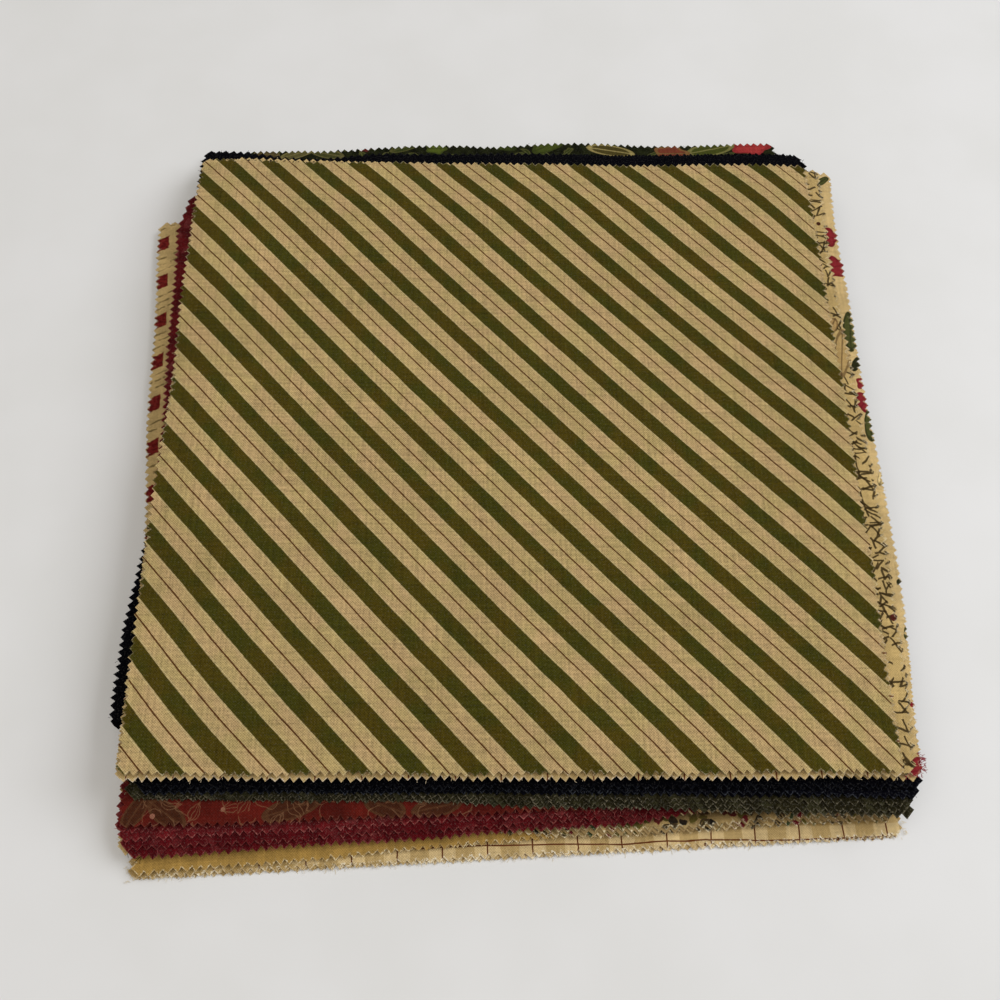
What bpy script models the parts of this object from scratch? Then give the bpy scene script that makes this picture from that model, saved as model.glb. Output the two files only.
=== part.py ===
# A bundle of ten-inch cotton quilting squares with pinked edges, stacked and slightly fanned.
# Metres, +Z up. The origin is at the middle of the bundle's footprint, on the surface it lies on.
# +X runs along the top square's front edge to the right, and +Y runs towards its back edge.

import math

import bmesh
import bpy
from mathutils import Vector

MM = 0.001

# Driving dimensions
SIDE = 254 * MM           # one square, from tooth tip to tooth tip
THICK = 1.0 * MM          # one solid: a shown square with the like squares that lie flush with it
GAP = 0.3 * MM            # air between two neighbours
TOOTH_DEPTH = 1.5 * MM    # pinking shears cut teeth of 90 degrees
TEETH = 84                # teeth along one side

# The squares lie in soft waves. Heights are set on a lattice of triangles that all squares share,
# so neighbours stay parallel: between lattice points every square is made of the same flat facets.
CELL = 48 * MM
LATTICE_X = -16.2 * MM    # one lattice line across X, the others are whole cells away
LATTICE_Y = -22 * MM      # one lattice line across Y
LINES = range(-7, 8)      # enough lines each way for the whole footprint

PUFF = 0.16 * MM          # most that one square lifts off the one under it, near the rim
PUFF_START = 60 * MM      # the middle of the bundle lies flat up to here
PUFF_FULL = 125 * MM
WAVE_ALONG_X = 150 * MM   # length of a wave along the front and back edges
WAVE_ALONG_Y = 190 * MM   # length of a wave along the left and right edges
WAVE_DRIFT = 0.3          # radians that a wave moves from one square to the next

BACK_DROOP = 4.0 * MM     # fall of the overhanging back edges over one cell
BACK_WAVE = 0.35          # share by which that fall swells and shrinks along the back
BACK_DROOP_START = 122 * MM
BACK_DROOP_LEVEL = 4      # lowest square that overhangs at the back
RIGHT_DROOP = 5.0 * MM    # fall of the overhanging right edges over one cell
RIGHT_DROOP_START = 127.8 * MM
RIGHT_DROOP_LEVEL = 8     # lowest square that overhangs on the right

COTTON_ROUGHNESS = 0.85

# One row for each square, from the top of the bundle to the bottom.
# x, y: its middle, in mm from the top square's middle. turn: degrees, anticlockwise from above.
# lean: degrees more that its two sides lean, where the cloth is pulled off its grain.
# deep: mm from front to back. teeth: sides whose pinking shows well in the fan
# (F front, B back, L left, R right). Colour: red, green and blue as seen, 0 to 255.
COLUMNS = ("name", "x", "y", "turn", "lean", "deep", "teeth", "colour")
SQUARES = (
    ("square_stripe",       0.0,   0.0,  0.0,  0.0, 254, "FBLR", (150, 128, 80)),
    ("square_windowpane",  -0.5,  -1.3, -0.1,  0.0, 254, "F",    (205, 180, 130)),
    ("square_vine",         5.0,   2.0, -0.7,  0.0, 254, "R",    (200, 172, 115)),
    ("square_cream_flower", 9.3,   2.2, -1.2,  0.0, 254, "R",    (212, 185, 130)),
    ("square_black",        5.8,  -3.7, -0.1,  0.0, 254, "F",    (20, 20, 28)),
    ("square_black_low",   -2.7,  11.5, -0.6, -1.1, 249, "L",    (20, 20, 26)),
    ("square_navy",         6.8,  -5.0, -0.6,  0.0, 254, "",     (24, 26, 40)),
    ("square_green",        4.0,  -8.3, -0.9,  0.0, 254, "F",    (58, 64, 38)),
    ("square_swirl",       -4.9,  -7.6,  2.9,  0.0, 254, "F",    (104, 46, 34)),
    ("square_burgundy",    -5.0, -11.0,  1.9,  0.0, 255, "FL",   (112, 34, 44)),
    ("square_wine",        -2.5, -16.8,  2.7,  0.0, 254, "F",    (98, 22, 34)),
    ("square_dark_flower", -1.9,  22.7,  2.1,  0.0, 254, "B",    (52, 56, 34)),
    ("square_red_block",  -10.1, -13.5,  3.7,  0.0, 256, "L",    (200, 174, 124)),
    ("square_mixed",       -0.3, -15.5,  1.2,  0.0, 254, "F",    (196, 168, 112)),
    ("square_gold",        -5.4, -19.6,  3.8,  0.0, 254, "F",    (190, 156, 88)),
    ("square_check",       -3.7, -23.5,  2.7,  0.0, 254, "F",    (202, 174, 118)),
)


def clear_scene():
    for old in list(bpy.data.objects):
        bpy.data.objects.remove(old, do_unlink=True)


def linear(channel):
    """One colour channel, 0 to 255 as seen, as the light value that a shader takes."""
    value = channel / 255
    return value / 12.92 if value <= 0.04045 else ((value + 0.055) / 1.055) ** 2.4


def cotton(name, colour):
    material = bpy.data.materials.new(name)
    material.use_nodes = True
    shader = material.node_tree.nodes["Principled BSDF"]
    shader.inputs["Base Color"].default_value = (*[linear(c) for c in colour], 1)
    shader.inputs["Roughness"].default_value = COTTON_ROUGHNESS
    shader.inputs["Metallic"].default_value = 0
    return material


def side_points(start, end, outward, pinked):
    """Points of one side of the outline, from its first corner up to, not with, its last one."""
    if not pinked:
        return [start]
    pitch = (end - start) / TEETH
    points = []
    for tooth in range(TEETH):
        points.append(start + pitch * tooth)
        points.append(start + pitch * (tooth + 0.5) + outward * TOOTH_DEPTH)
    return points


def outline(square):
    """The cut outline of one square, anticlockwise, lying at its place in the bundle."""
    turn = math.radians(square["turn"])
    side_turn = math.radians(square["turn"] + square["lean"])
    along = Vector((math.cos(turn), math.sin(turn)))
    back = Vector((-math.sin(side_turn), math.cos(side_turn)))
    middle = Vector((square["x"], square["y"])) * MM
    deep = square["deep"] * MM

    # A pinked side is laid out along the roots of its teeth, a plain one halfway up them.
    inset = {side: TOOTH_DEPTH * (1 if side in square["teeth"] else 0.5) for side in "FBLR"}
    left = -SIDE / 2 + inset["L"]
    right = SIDE / 2 - inset["R"]
    front = -deep / 2 + inset["F"]
    rear = deep / 2 - inset["B"]
    corners = [middle + along * x + back * y
               for x, y in ((left, front), (right, front), (right, rear), (left, rear))]
    points = []
    for index, (side, outward) in enumerate(zip("FRBL", (-back, along, back, -along))):
        start, end = corners[index], corners[(index + 1) % 4]
        points += side_points(start, end, outward, side in square["teeth"])
    return points


def smooth_step(value, low, high):
    t = min(max((value - low) / (high - low), 0), 1)
    return t * t * (3 - 2 * t)


def lattice_height(x, y, level):
    """How far the square at a level lies above or below its flat place, at a lattice point."""
    rim = smooth_step(max(abs(x), abs(y)), PUFF_START, PUFF_FULL)
    height = 0
    for under in range(1, level + 1):
        wave = math.sin(math.tau * x / WAVE_ALONG_X + WAVE_DRIFT * under)
        wave += math.sin(math.tau * y / WAVE_ALONG_Y + 2 * WAVE_DRIFT * under)
        height += PUFF * rim * (0.5 + 0.25 * wave)
    if level >= BACK_DROOP_LEVEL:
        swell = 1 + BACK_WAVE * math.sin(math.tau * x / WAVE_ALONG_X)
        height -= BACK_DROOP * swell * max(y - BACK_DROOP_START, 0) / CELL
    if level >= RIGHT_DROOP_LEVEL:
        height -= RIGHT_DROOP * max(x - RIGHT_DROOP_START, 0) / CELL
    return height


def height_at(x, y, level):
    """The height between lattice points, on the flat triangle that holds x and y."""
    column = math.floor((x - LATTICE_X) / CELL)
    row = math.floor((y - LATTICE_Y) / CELL)
    x0 = LATTICE_X + column * CELL
    y0 = LATTICE_Y + row * CELL
    u = (x - x0) / CELL
    v = (y - y0) / CELL
    near = lattice_height(x0, y0, level)
    far = lattice_height(x0 + CELL, y0 + CELL, level)
    if u >= v:
        side = lattice_height(x0 + CELL, y0, level)
        return near + (side - near) * u + (far - side) * v
    side = lattice_height(x0, y0 + CELL, level)
    return near + (side - near) * v + (far - side) * u


def cut_along_lattice(bm):
    """Cuts a flat face along the lattice's lines across X, across Y and along its diagonals."""
    for line in LINES:
        x = LATTICE_X + line * CELL
        y = LATTICE_Y + line * CELL
        for point, normal in (((x, 0, 0), (1, 0, 0)),
                              ((0, y, 0), (0, 1, 0)),
                              ((x, LATTICE_Y, 0), (1, -1, 0))):
            everything = bm.verts[:] + bm.edges[:] + bm.faces[:]
            bmesh.ops.bisect_plane(bm, geom=everything, plane_co=point, plane_no=normal,
                                   dist=0.01 * MM)


def build_square(square, level, centre):
    bm = bmesh.new()
    bm.faces.new([bm.verts.new((*point, 0)) for point in outline(square)])
    cut_along_lattice(bm)
    bmesh.ops.triangulate(bm, faces=bm.faces[:], quad_method="BEAUTY", ngon_method="BEAUTY")
    base = level * (THICK + GAP)
    for vert in bm.verts:
        vert.co.z = base + height_at(vert.co.x, vert.co.y, level)
    raised = bmesh.ops.extrude_face_region(bm, geom=bm.faces[:])
    top = [item for item in raised["geom"] if isinstance(item, bmesh.types.BMVert)]
    bmesh.ops.translate(bm, vec=(0, 0, THICK), verts=top)
    bmesh.ops.translate(bm, vec=(-centre.x, -centre.y, 0), verts=bm.verts[:])
    bmesh.ops.recalc_face_normals(bm, faces=bm.faces[:])

    mesh = bpy.data.meshes.new(square["name"])
    bm.to_mesh(mesh)
    bm.free()
    mesh.materials.append(cotton(square["name"].replace("square", "cotton"), square["colour"]))
    piece = bpy.data.objects.new(square["name"], mesh)
    bpy.context.collection.objects.link(piece)


def footprint_centre(squares):
    points = [point for square in squares for point in outline(square)]
    xs = [point.x for point in points]
    ys = [point.y for point in points]
    return Vector(((min(xs) + max(xs)) / 2, (min(ys) + max(ys)) / 2))


def main():
    clear_scene()
    squares = [dict(zip(COLUMNS, row)) for row in SQUARES]
    centre = footprint_centre(squares)
    for place, square in enumerate(squares):
        build_square(square, len(squares) - 1 - place, centre)


main()
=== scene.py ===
# %% [markdown]
# # A bundle of pinked cotton squares
# Forty-two quilting squares lie on each other, slightly fanned, so that their zigzag edges show
# as thin coloured rows. The solid model gives sixteen stiff slabs, each for a shown square and
# the like squares that lie flush with it. This lesson puts thin cloth in their place: every
# square gets its own sheet, settled onto the one below, with its print, weave and cut threads.

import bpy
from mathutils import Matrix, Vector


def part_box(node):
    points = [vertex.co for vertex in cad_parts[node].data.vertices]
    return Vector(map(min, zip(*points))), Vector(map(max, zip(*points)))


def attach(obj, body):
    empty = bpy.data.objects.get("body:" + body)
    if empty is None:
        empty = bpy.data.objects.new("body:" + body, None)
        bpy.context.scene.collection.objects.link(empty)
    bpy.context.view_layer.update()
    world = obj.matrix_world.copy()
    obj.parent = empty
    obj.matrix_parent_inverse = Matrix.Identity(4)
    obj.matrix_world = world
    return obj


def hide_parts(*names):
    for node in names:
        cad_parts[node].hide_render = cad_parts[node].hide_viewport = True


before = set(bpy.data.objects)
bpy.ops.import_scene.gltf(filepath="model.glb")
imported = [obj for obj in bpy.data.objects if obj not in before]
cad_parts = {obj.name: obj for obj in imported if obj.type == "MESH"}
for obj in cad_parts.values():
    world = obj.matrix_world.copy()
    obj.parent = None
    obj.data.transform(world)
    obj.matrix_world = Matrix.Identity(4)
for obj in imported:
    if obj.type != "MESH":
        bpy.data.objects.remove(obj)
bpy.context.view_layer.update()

# %% [markdown]
# Blender's own modules do the modelling. Numpy holds the height map on which the squares settle.
# Everything is in metres, so millimetres are written as a number times MM.

# %% Modules and the unit
import math

import bmesh
import bpy
import numpy as np
from mathutils import Matrix, Vector

MM = 0.001
scene = bpy.context.scene
scene.view_settings.view_transform = "Standard"

# %% [markdown]
# The bundle is seen from the front and well above, through a slightly wide lens. The camera comes
# first, because each later choice, such as how fine a weave has to be, depends on what it sees.

# %% The camera
CAMERA_PLACE = Vector((-12.4, -192.1, 373.55)) * MM
CAMERA_TILT = (24.882, -1.55, -0.503)      # degrees about X, Y and Z
LENS = 39.04                               # mm, on a sensor 36 mm wide

camera_data = bpy.data.cameras.new("camera")
camera_data.lens = LENS
camera_data.sensor_width = 36
camera_data.clip_start = 10 * MM
camera = bpy.data.objects.new("camera", camera_data)
camera.location = CAMERA_PLACE
camera.rotation_euler = [math.radians(angle) for angle in CAMERA_TILT]
scene.collection.objects.link(camera)
scene.camera = camera
print("camera", round(CAMERA_PLACE.length / MM), "mm from the origin")

# %% [markdown]
# All squares are cut to the same size with pinking shears, so the cut edge is a row of teeth
# 3 mm wide and 1.5 mm deep. The table says where each one lies, from the top of the bundle down:
# x and y are its middle, in mm from the top square's middle, turn is in degrees, lean is how
# much more its two sides lean, where the cloth is pulled off its grain, and deep is its size from
# front to back. The first square of each kind shows most, and the others fan out by a little.

# %% The squares, from the top of the bundle down
SIDE = 254 * MM
TEETH = 84
TOOTH_DEPTH = 1.5 * MM
ROOT_SIDE = SIDE - 2 * TOOTH_DEPTH         # the square on which the teeth stand
PITCH = ROOT_SIDE / TEETH
THICK = 0.3 * MM                           # one cotton square
SLOT = 1.3 * MM                            # height that each slab of the solid model takes

COLUMNS = ("kind", "x", "y", "turn", "lean", "deep")
SQUARES = (
    ("stripe",        0.0,   0.0,  0.0,   0.0, 254),
    ("stripe",        0.1,   0.3,  0.0,   0.0, 254),
    ("windowpane",   -0.5,  -1.4,  0.0,   0.0, 254),
    ("windowpane",   -0.3,  -0.6, -0.1,   0.0, 254),
    ("vine",          4.3,   1.2, -0.6,   0.0, 254),
    ("vine",          5.0,   2.0, -0.7,   0.0, 254),
    ("vine",          3.6,   1.5, -0.5,   0.0, 254),
    ("cream_flower",  9.3,   2.2, -1.2,   0.0, 254),
    ("cream_flower",  9.2,   3.2, -1.2,   0.0, 254),
    ("cream_flower",  9.0,   1.2, -1.2,   0.0, 254),
    ("black",         5.2,  -3.2,  0.0,   0.0, 254),
    ("black",         7.2,  -2.7, -0.7,   0.0, 254),
    ("black",         5.0,  -3.2, -0.4,   0.0, 254),
    ("black_low",    -2.7,  14.3,  0.4,  -2.1, 250),
    ("black_low",    -0.1,  12.0, -0.2,  -1.3, 250),
    ("black_low",    -3.0,  14.1,  1.1,  -2.2, 250),
    ("navy",          7.8,  -3.8, -1.4,   0.0, 254),
    ("navy",          5.6,  -4.4,  0.0,   0.0, 254),
    ("navy",          6.1,  -4.6, -0.9,   0.0, 254),
    ("green",         2.4,  -6.6, -0.6,   0.0, 254),
    ("green",         4.4,  -8.0, -1.1,   0.0, 254),
    ("green",         6.5,  -8.8, -1.4,   0.0, 254),
    ("swirl",         0.1, -10.3,  2.0,  -2.0, 254),
    ("swirl",         0.4,  -9.9,  1.9,  -1.9, 254),
    ("swirl",         0.6,  -9.6,  1.8,  -1.8, 254),
    ("burgundy",     -4.7,  -8.8,  2.3,   0.6, 254),
    ("burgundy",     -3.1, -10.0,  2.6,  -2.6, 254),
    ("burgundy",     -2.8, -11.9,  3.0,  -2.5, 254),
    ("wine",         -1.8, -14.2,  3.3,  -2.8, 254),
    ("wine",         -0.8, -16.0,  3.5,  -2.5, 254),
    ("dark_flower",  -1.9,  23.6,  2.1,   0.0, 254),
    ("dark_flower",  -2.6,  22.5,  2.0,   0.0, 254),
    ("red_block",   -10.8, -13.5,  3.7,   0.0, 256),
    ("red_block",   -10.7, -12.1,  3.7,   0.0, 256),
    ("mixed",        -0.9, -13.4,  0.9,   0.0, 254),
    ("mixed",        -1.4, -14.2,  1.0,   0.0, 254),
    ("mixed",        -1.9, -15.0,  0.9,   0.0, 254),
    ("gold",         -6.1, -18.4,  5.0,  -1.2, 254),
    ("gold",         -5.4, -18.5,  3.6,   0.2, 254),
    ("check",        -2.6, -23.3,  2.7,   0.0, 254),
    ("check",        -4.7, -23.4,  2.7,   0.0, 254),
    ("check",        -3.7, -23.5,  2.7,   0.0, 254),
)

squares = [dict(zip(COLUMNS, row)) for row in SQUARES]
kinds = list(dict.fromkeys(square["kind"] for square in squares))
for kind in kinds:
    alike = [square for square in squares if square["kind"] == kind]
    for place, square in enumerate(alike):
        square["name"] = f"{kind}_{place + 1}"
        square["slot_share"] = (len(alike) - 1 - place) / len(alike)
        square["alike"] = len(alike)
        square["level"] = len(kinds) - 1 - kinds.index(kind)
print(len(squares), "squares of", len(kinds), "kinds")

# %% [markdown]
# The table counts from the top square's middle, and the solid model from the middle of its
# footprint. The top slab's box gives the step between the two.

# %% Where the top square's middle lies
low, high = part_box("square_stripe")
TOP_MIDDLE = Vector(((low[0] + high[0]) / 2, (low[1] + high[1]) / 2))
print("top square's middle, mm:", [round(value / MM, 2) for value in TOP_MIDDLE])

# %% [markdown]
# One flat pinked square is modelled once and copied for all. It starts as a grid whose lines are
# one tooth apart near the rim, where the cloth bends and shows, and four teeth apart in the flat
# middle. The border's edges are cut at every root and tip, and the tips are drawn out. A UV map
# keeps each point's place on the flat cloth, so that a print follows it however the sheet lies.

# %% One flat pinked square
HALF_STEPS = [1] * 12 + [2] * 5 + [4] * 5  # teeth between two grid lines, from the rim inwards
STEPS = HALF_STEPS + HALF_STEPS[::-1]
LINES = [0, *np.cumsum(STEPS)]             # the grid's lines, counted in teeth
UV_NAME = "cloth"
TINY = 0.01 * MM


def spread(value):
    """The place of a grid line that create_grid puts at a value from -1 to 1."""
    line = round((value + 1) / 2 * len(STEPS))
    return LINES[line] * PITCH - ROOT_SIDE / 2


def pinked_square():
    """The flat square with its teeth, still without a thickness."""
    bm = bmesh.new()
    bmesh.ops.create_grid(bm, x_segments=len(STEPS), y_segments=len(STEPS), size=1)
    for vert in bm.verts:
        vert.co.x = spread(vert.co.x)
        vert.co.y = spread(vert.co.y)

    border = [edge for edge in bm.edges if edge.is_boundary]
    for teeth in (1, 2, 4):
        alike = [edge for edge in border if round(edge.calc_length() / PITCH) == teeth]
        bmesh.ops.bisect_edges(bm, edges=alike, cuts=2 * teeth - 1)

    reach = ROOT_SIDE / 2
    for vert in bm.verts:
        for axis in (0, 1):
            along = (vert.co[1 - axis] + reach) / PITCH
            on_side = abs(abs(vert.co[axis]) - reach) < TINY
            halfway = abs(along % 1 - 0.5) < 0.1
            if on_side and halfway:
                vert.co[axis] += math.copysign(TOOTH_DEPTH, vert.co[axis])

    cloth = bm.loops.layers.uv.new(UV_NAME)
    for face in bm.faces:
        for loop in face.loops:
            loop[cloth].uv = (loop.vert.co.xy / SIDE) + Vector((0.5, 0.5))
    return bm


flat_square = pinked_square()
print("flat square:", len(flat_square.faces), "faces,", len(flat_square.verts), "vertices")

# %% [markdown]
# A pile of cloth is not a pile of boards. Where a square has nothing under it, past the edge of
# the ones below, it hangs down a little, and near the rim it stands slightly off its neighbour
# in long soft waves. A cloth simulation of forty-two touching sheets is slow and never quite
# quiet, so the pile is laid on a height map instead, square by square from the bottom: each one
# takes the shape of what is under it, but bends no more steeply than such a pile does.

# %% The height map
CELL_MM = 2
CELL = CELL_MM * MM
MAP_X = np.arange(-152, 152 + CELL_MM, CELL_MM) * MM
MAP_Y = np.arange(-168, 168 + CELL_MM, CELL_MM) * MM
GRID_X, GRID_Y = np.meshgrid(MAP_X, MAP_Y, indexing="ij")
STEEPEST = 0.07                            # fall over distance, at most, where cloth overhangs
REACH = 20                                 # cells over which an edge can hold its neighbourhood up
SOFTEN = 4                                 # rounds of smoothing


def shifted(heights, steps_x, steps_y):
    """The map moved by whole cells, with its border repeated."""
    padded = np.pad(heights, 1, mode="edge")
    rows, columns = heights.shape
    return padded[1 + steps_x:1 + steps_x + rows, 1 + steps_y:1 + steps_y + columns]


def draped_over(heights):
    """The lowest surface on top of a map that is nowhere steeper than STEEPEST."""
    for _ in range(REACH):
        for steps_x, steps_y in ((1, 0), (-1, 0), (0, 1), (0, -1)):
            heights = np.maximum(heights, shifted(heights, steps_x, steps_y) - STEEPEST * CELL)
        for steps_x, steps_y in ((1, 1), (-1, 1), (1, -1), (-1, -1)):
            fall = STEEPEST * CELL * math.sqrt(2)
            heights = np.maximum(heights, shifted(heights, steps_x, steps_y) - fall)
    return heights


def softened(heights):
    """The map with its steps smoothed."""
    for _ in range(SOFTEN):
        for steps in ((1, 0), (0, 1)):
            back = shifted(heights, -steps[0], -steps[1])
            heights = (heights * 2 + shifted(heights, *steps) + back) / 4
    return heights


print("height map:", len(MAP_X), "by", len(MAP_Y), "cells of", CELL_MM, "mm")

# %% [markdown]
# The waves are those of the solid model, so that each sheet stays in the space of its slab. A
# second table, in mm, adds the places where a square stands off the one below. The eye reads them
# as a dark line in the fan, and at the back as waves in the overhanging edge.

# %% How far each square stands off the one below
PUFF = 0.16 * MM
PUFF_START = 60 * MM
PUFF_FULL = 125 * MM
CORNER_PUFF = 0.09 * MM                    # corners stand off more, because nothing holds them
WAVE_ALONG_X = 150 * MM
WAVE_ALONG_Y = 190 * MM
WAVE_DRIFT = 0.3                           # radians from one level to the next

LIFT_COLUMNS = ("name", "x", "y", "reach_x", "reach_y", "height")
LIFTS = (
    ("navy_3",         110, -130, 60, 60, 0.5),
    ("black_3",        -60, -128, 45, 45, 0.4),
    ("green_3",        100, -135, 70, 70, 0.7),
    ("swirl_1",       -100, -135, 60, 60, 0.5),
    ("gold_1",        -125, -150, 50, 50, 0.4),
    ("vine_1",         128,   60, 50, 50, 0.4),
    ("stripe_1",       -50, -127, 40, 40, 0.15),
    ("dark_flower_2",  -40,  158, 45, 30, 3.4),
    ("dark_flower_2",   22,  158, 20, 30, 3.2),
)
lifts = [dict(zip(LIFT_COLUMNS, row)) for row in LIFTS]
print("places that stand off:", len(lifts))


def rim_share(distance):
    """0 in the flat middle and 1 at the rim, with a soft change between them."""
    rise = np.clip((distance - PUFF_START) / (PUFF_FULL - PUFF_START), 0, 1)
    return rise * rise * (3 - 2 * rise)


def gap_under(square, x, y):
    """Air between a square and the one below, at places counted from the top square's middle."""
    rise_x, rise_y = [rim_share(abs(value)) for value in (x, y)]
    rim = np.maximum(rise_x, rise_y)
    level = square["level"] + square["slot_share"]
    wave = np.sin(math.tau * x / WAVE_ALONG_X + WAVE_DRIFT * level)
    wave = wave + np.sin(math.tau * y / WAVE_ALONG_Y + 2 * WAVE_DRIFT * level)
    puff = PUFF * rim * (0.5 + 0.25 * wave) + CORNER_PUFF * rise_x * rise_y
    gap = SLOT / square["alike"] - THICK + puff / square["alike"]
    for lift in lifts:
        if lift["name"] == square["name"]:
            away_x = (x / MM - lift["x"]) / lift["reach_x"]
            away_y = (y / MM - lift["y"]) / lift["reach_y"]
            far = np.hypot(away_x, away_y)
            gap = gap + lift["height"] * MM * np.clip(1 - far * far, 0, 1) ** 2
    return gap


# %% [markdown]
# Now the pile is settled. Each square's outline is tested on the map, which then takes the new
# top surface inside it. Every square keeps the map of its own underside for its mesh.

# %% Settle the squares from the bottom up
def axes_of(square):
    """The two directions in which a square's own sides run, as it lies."""
    turn = math.radians(square["turn"])
    side_turn = math.radians(square["turn"] + square["lean"])
    along = Vector((math.cos(turn), math.sin(turn)))
    back = Vector((-math.sin(side_turn), math.cos(side_turn)))
    return along, back


def covers(square, x, y):
    """Whether a square's outline holds each place, halfway up its teeth."""
    along, back = axes_of(square)
    away_x = x - square["x"] * MM
    away_y = y - square["y"] * MM
    area = along.x * back.y - along.y * back.x
    u = (away_x * back.y - away_y * back.x) / area
    v = (away_y * along.x - away_x * along.y) / area
    trim = TOOTH_DEPTH / 2
    return (abs(u) < SIDE / 2 - trim) & (abs(v) < square["deep"] * MM / 2 - trim)


pile = np.zeros_like(GRID_X)
for square in reversed(squares):
    bottom = np.maximum(softened(draped_over(pile)), pile)
    if square is not squares[-1]:
        bottom = bottom + gap_under(square, GRID_X, GRID_Y)
    square["bottom"] = bottom
    pile = np.where(covers(square, GRID_X, GRID_Y), bottom + THICK, pile)
middle_height = float(pile[len(MAP_X) // 2, len(MAP_Y) // 2])
print("the pile is", round(float(pile.max()) / MM, 2), "mm high,",
      round(middle_height / MM, 2), "mm in the middle")

# %% [markdown]
# Each sheet is a copy of the flat square, laid at its place, lifted onto its map and extruded to
# the cloth's thickness, which closes it. The cut is never ruler straight, so the sides wander by
# a quarter of a millimetre, each tooth is a little ragged, and a table says where handling has
# pulled a square, or all of its kind, by a millimetre or so. A face attribute marks the reverse,
# where a print is paler.

# %% Lay and thicken the sheets
WANDER = 0.25 * MM
WANDER_LENGTH = 70 * MM
RAGGED = 0.14 * MM                         # how far the points of the cut are off, typically
SHARP_ANGLE = math.radians(40)             # the cut edge stays sharp, and the cloth is smooth
REVERSE = "reverse"

PULL_COLUMNS = ("squares", "x", "y", "reach", "pull_x", "pull_y")
PULLS = (                                  # in mm on the flat cloth, from its middle
    ("stripe",        -127, -127, 110, -1.0,  0.0),
    ("stripe",        -127,  -38,  75, -1.7,  0.0),
    ("stripe",        -127,  127,  35,  0.5,  0.0),
    ("stripe",        -127,   75,  70, -1.5,  0.0),
    ("stripe",         127,  127, 110, -1.1,  0.0),
    ("stripe",         127, -103,  45, -1.6,  0.0),
    ("windowpane",    -127, -127, 110, -0.8,  0.0),
    ("windowpane",    -127,  -38,  75, -1.2,  0.0),
    ("vine",           127,  -50, 110,  3.4,  0.0),
    ("vine",           127,   95,  45, -1.0,  0.0),
    ("cream_flower",   127,  -48,  75,  2.8,  0.0),
    ("cream_flower",   127,   95,  50, -1.6,  0.0),
    ("black",         -127, -127,  60, -1.2,  0.0),
    ("navy",          -127, -127,  60, -1.2,  0.0),
    ("green",         -127, -127,  60, -1.5,  0.0),
    ("swirl",         -127, -127,  60, -1.2,  0.0),
    ("black_2",        127, -127,  50,  1.4,  0.0),
    ("black_3",        127, -127,  50,  2.0,  0.0),
    ("black_low",     -127,  -90,  90, -2.0,  0.0),
    ("black_low",     -127,   -5,  95,  2.8,  0.0),
    ("black_low",     -127,  127,  50, -2.8,  0.0),
    ("black_low",     -127, -127,  40,  0.0,  3.0),
    ("black_low",      -84,  127,  32,  0.0, -3.2),
    ("navy",           127, -127,  60,  1.6,  0.0),
    ("green",          127, -127,  80,  1.2, -0.8),
    ("green",          -45, -127,  50,  0.0,  1.0),
    ("burgundy_1",    -127,  127,  16,  4.0,  4.5),
    ("burgundy",        80, -127,  48,  0.0,  3.0),
    ("wine",            80, -127,  48,  0.0,  4.0),
    ("dark_flower",   -127,  127,  60,  3.0,  0.0),
    ("red_block",     -127,  127,  60, -0.8,  0.0),
    ("red_block",     -127,  -42,  72,  3.0,  0.0),
    ("red_block",     -127, -127,  40,  0.4,  0.0),
    ("mixed",           35, -127,  60,  0.0, -2.7),
    ("gold",          -127, -127,  70,  0.0,  0.5),
)
pulls = [dict(zip(PULL_COLUMNS, row)) for row in PULLS]


def nearness(x, y, row):
    """1 at the place that a row of a table names, and softly down to 0 at its reach."""
    far = math.hypot(x / MM - row["x"], y / MM - row["y"]) / row["reach"]
    return max(1 - far * far, 0) ** 2


def pulled(name, u, v):
    """Where a point of the flat cloth has moved to."""
    kind = name[:-2]                       # the name without its number
    moved = Vector((u, v))
    for pull in pulls:
        if pull["squares"] in (name, kind):
            moved += Vector((pull["pull_x"], pull["pull_y"])) * MM * nearness(u, v, pull)
    return moved


def height_on(heights, x, y):
    """A map's height between its cells, straight from one to the next."""
    inside = 1.001                         # so that the last cell still has a neighbour
    column = np.clip((x - MAP_X[0]) / CELL, 0, len(MAP_X) - inside)
    row = np.clip((y - MAP_Y[0]) / CELL, 0, len(MAP_Y) - inside)
    i, j = int(column), int(row)
    u, v = column - i, row - j
    near = heights[i, j] * (1 - u) + heights[i + 1, j] * u
    far = heights[i, j + 1] * (1 - u) + heights[i + 1, j + 1] * u
    return near * (1 - v) + far * v


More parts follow.
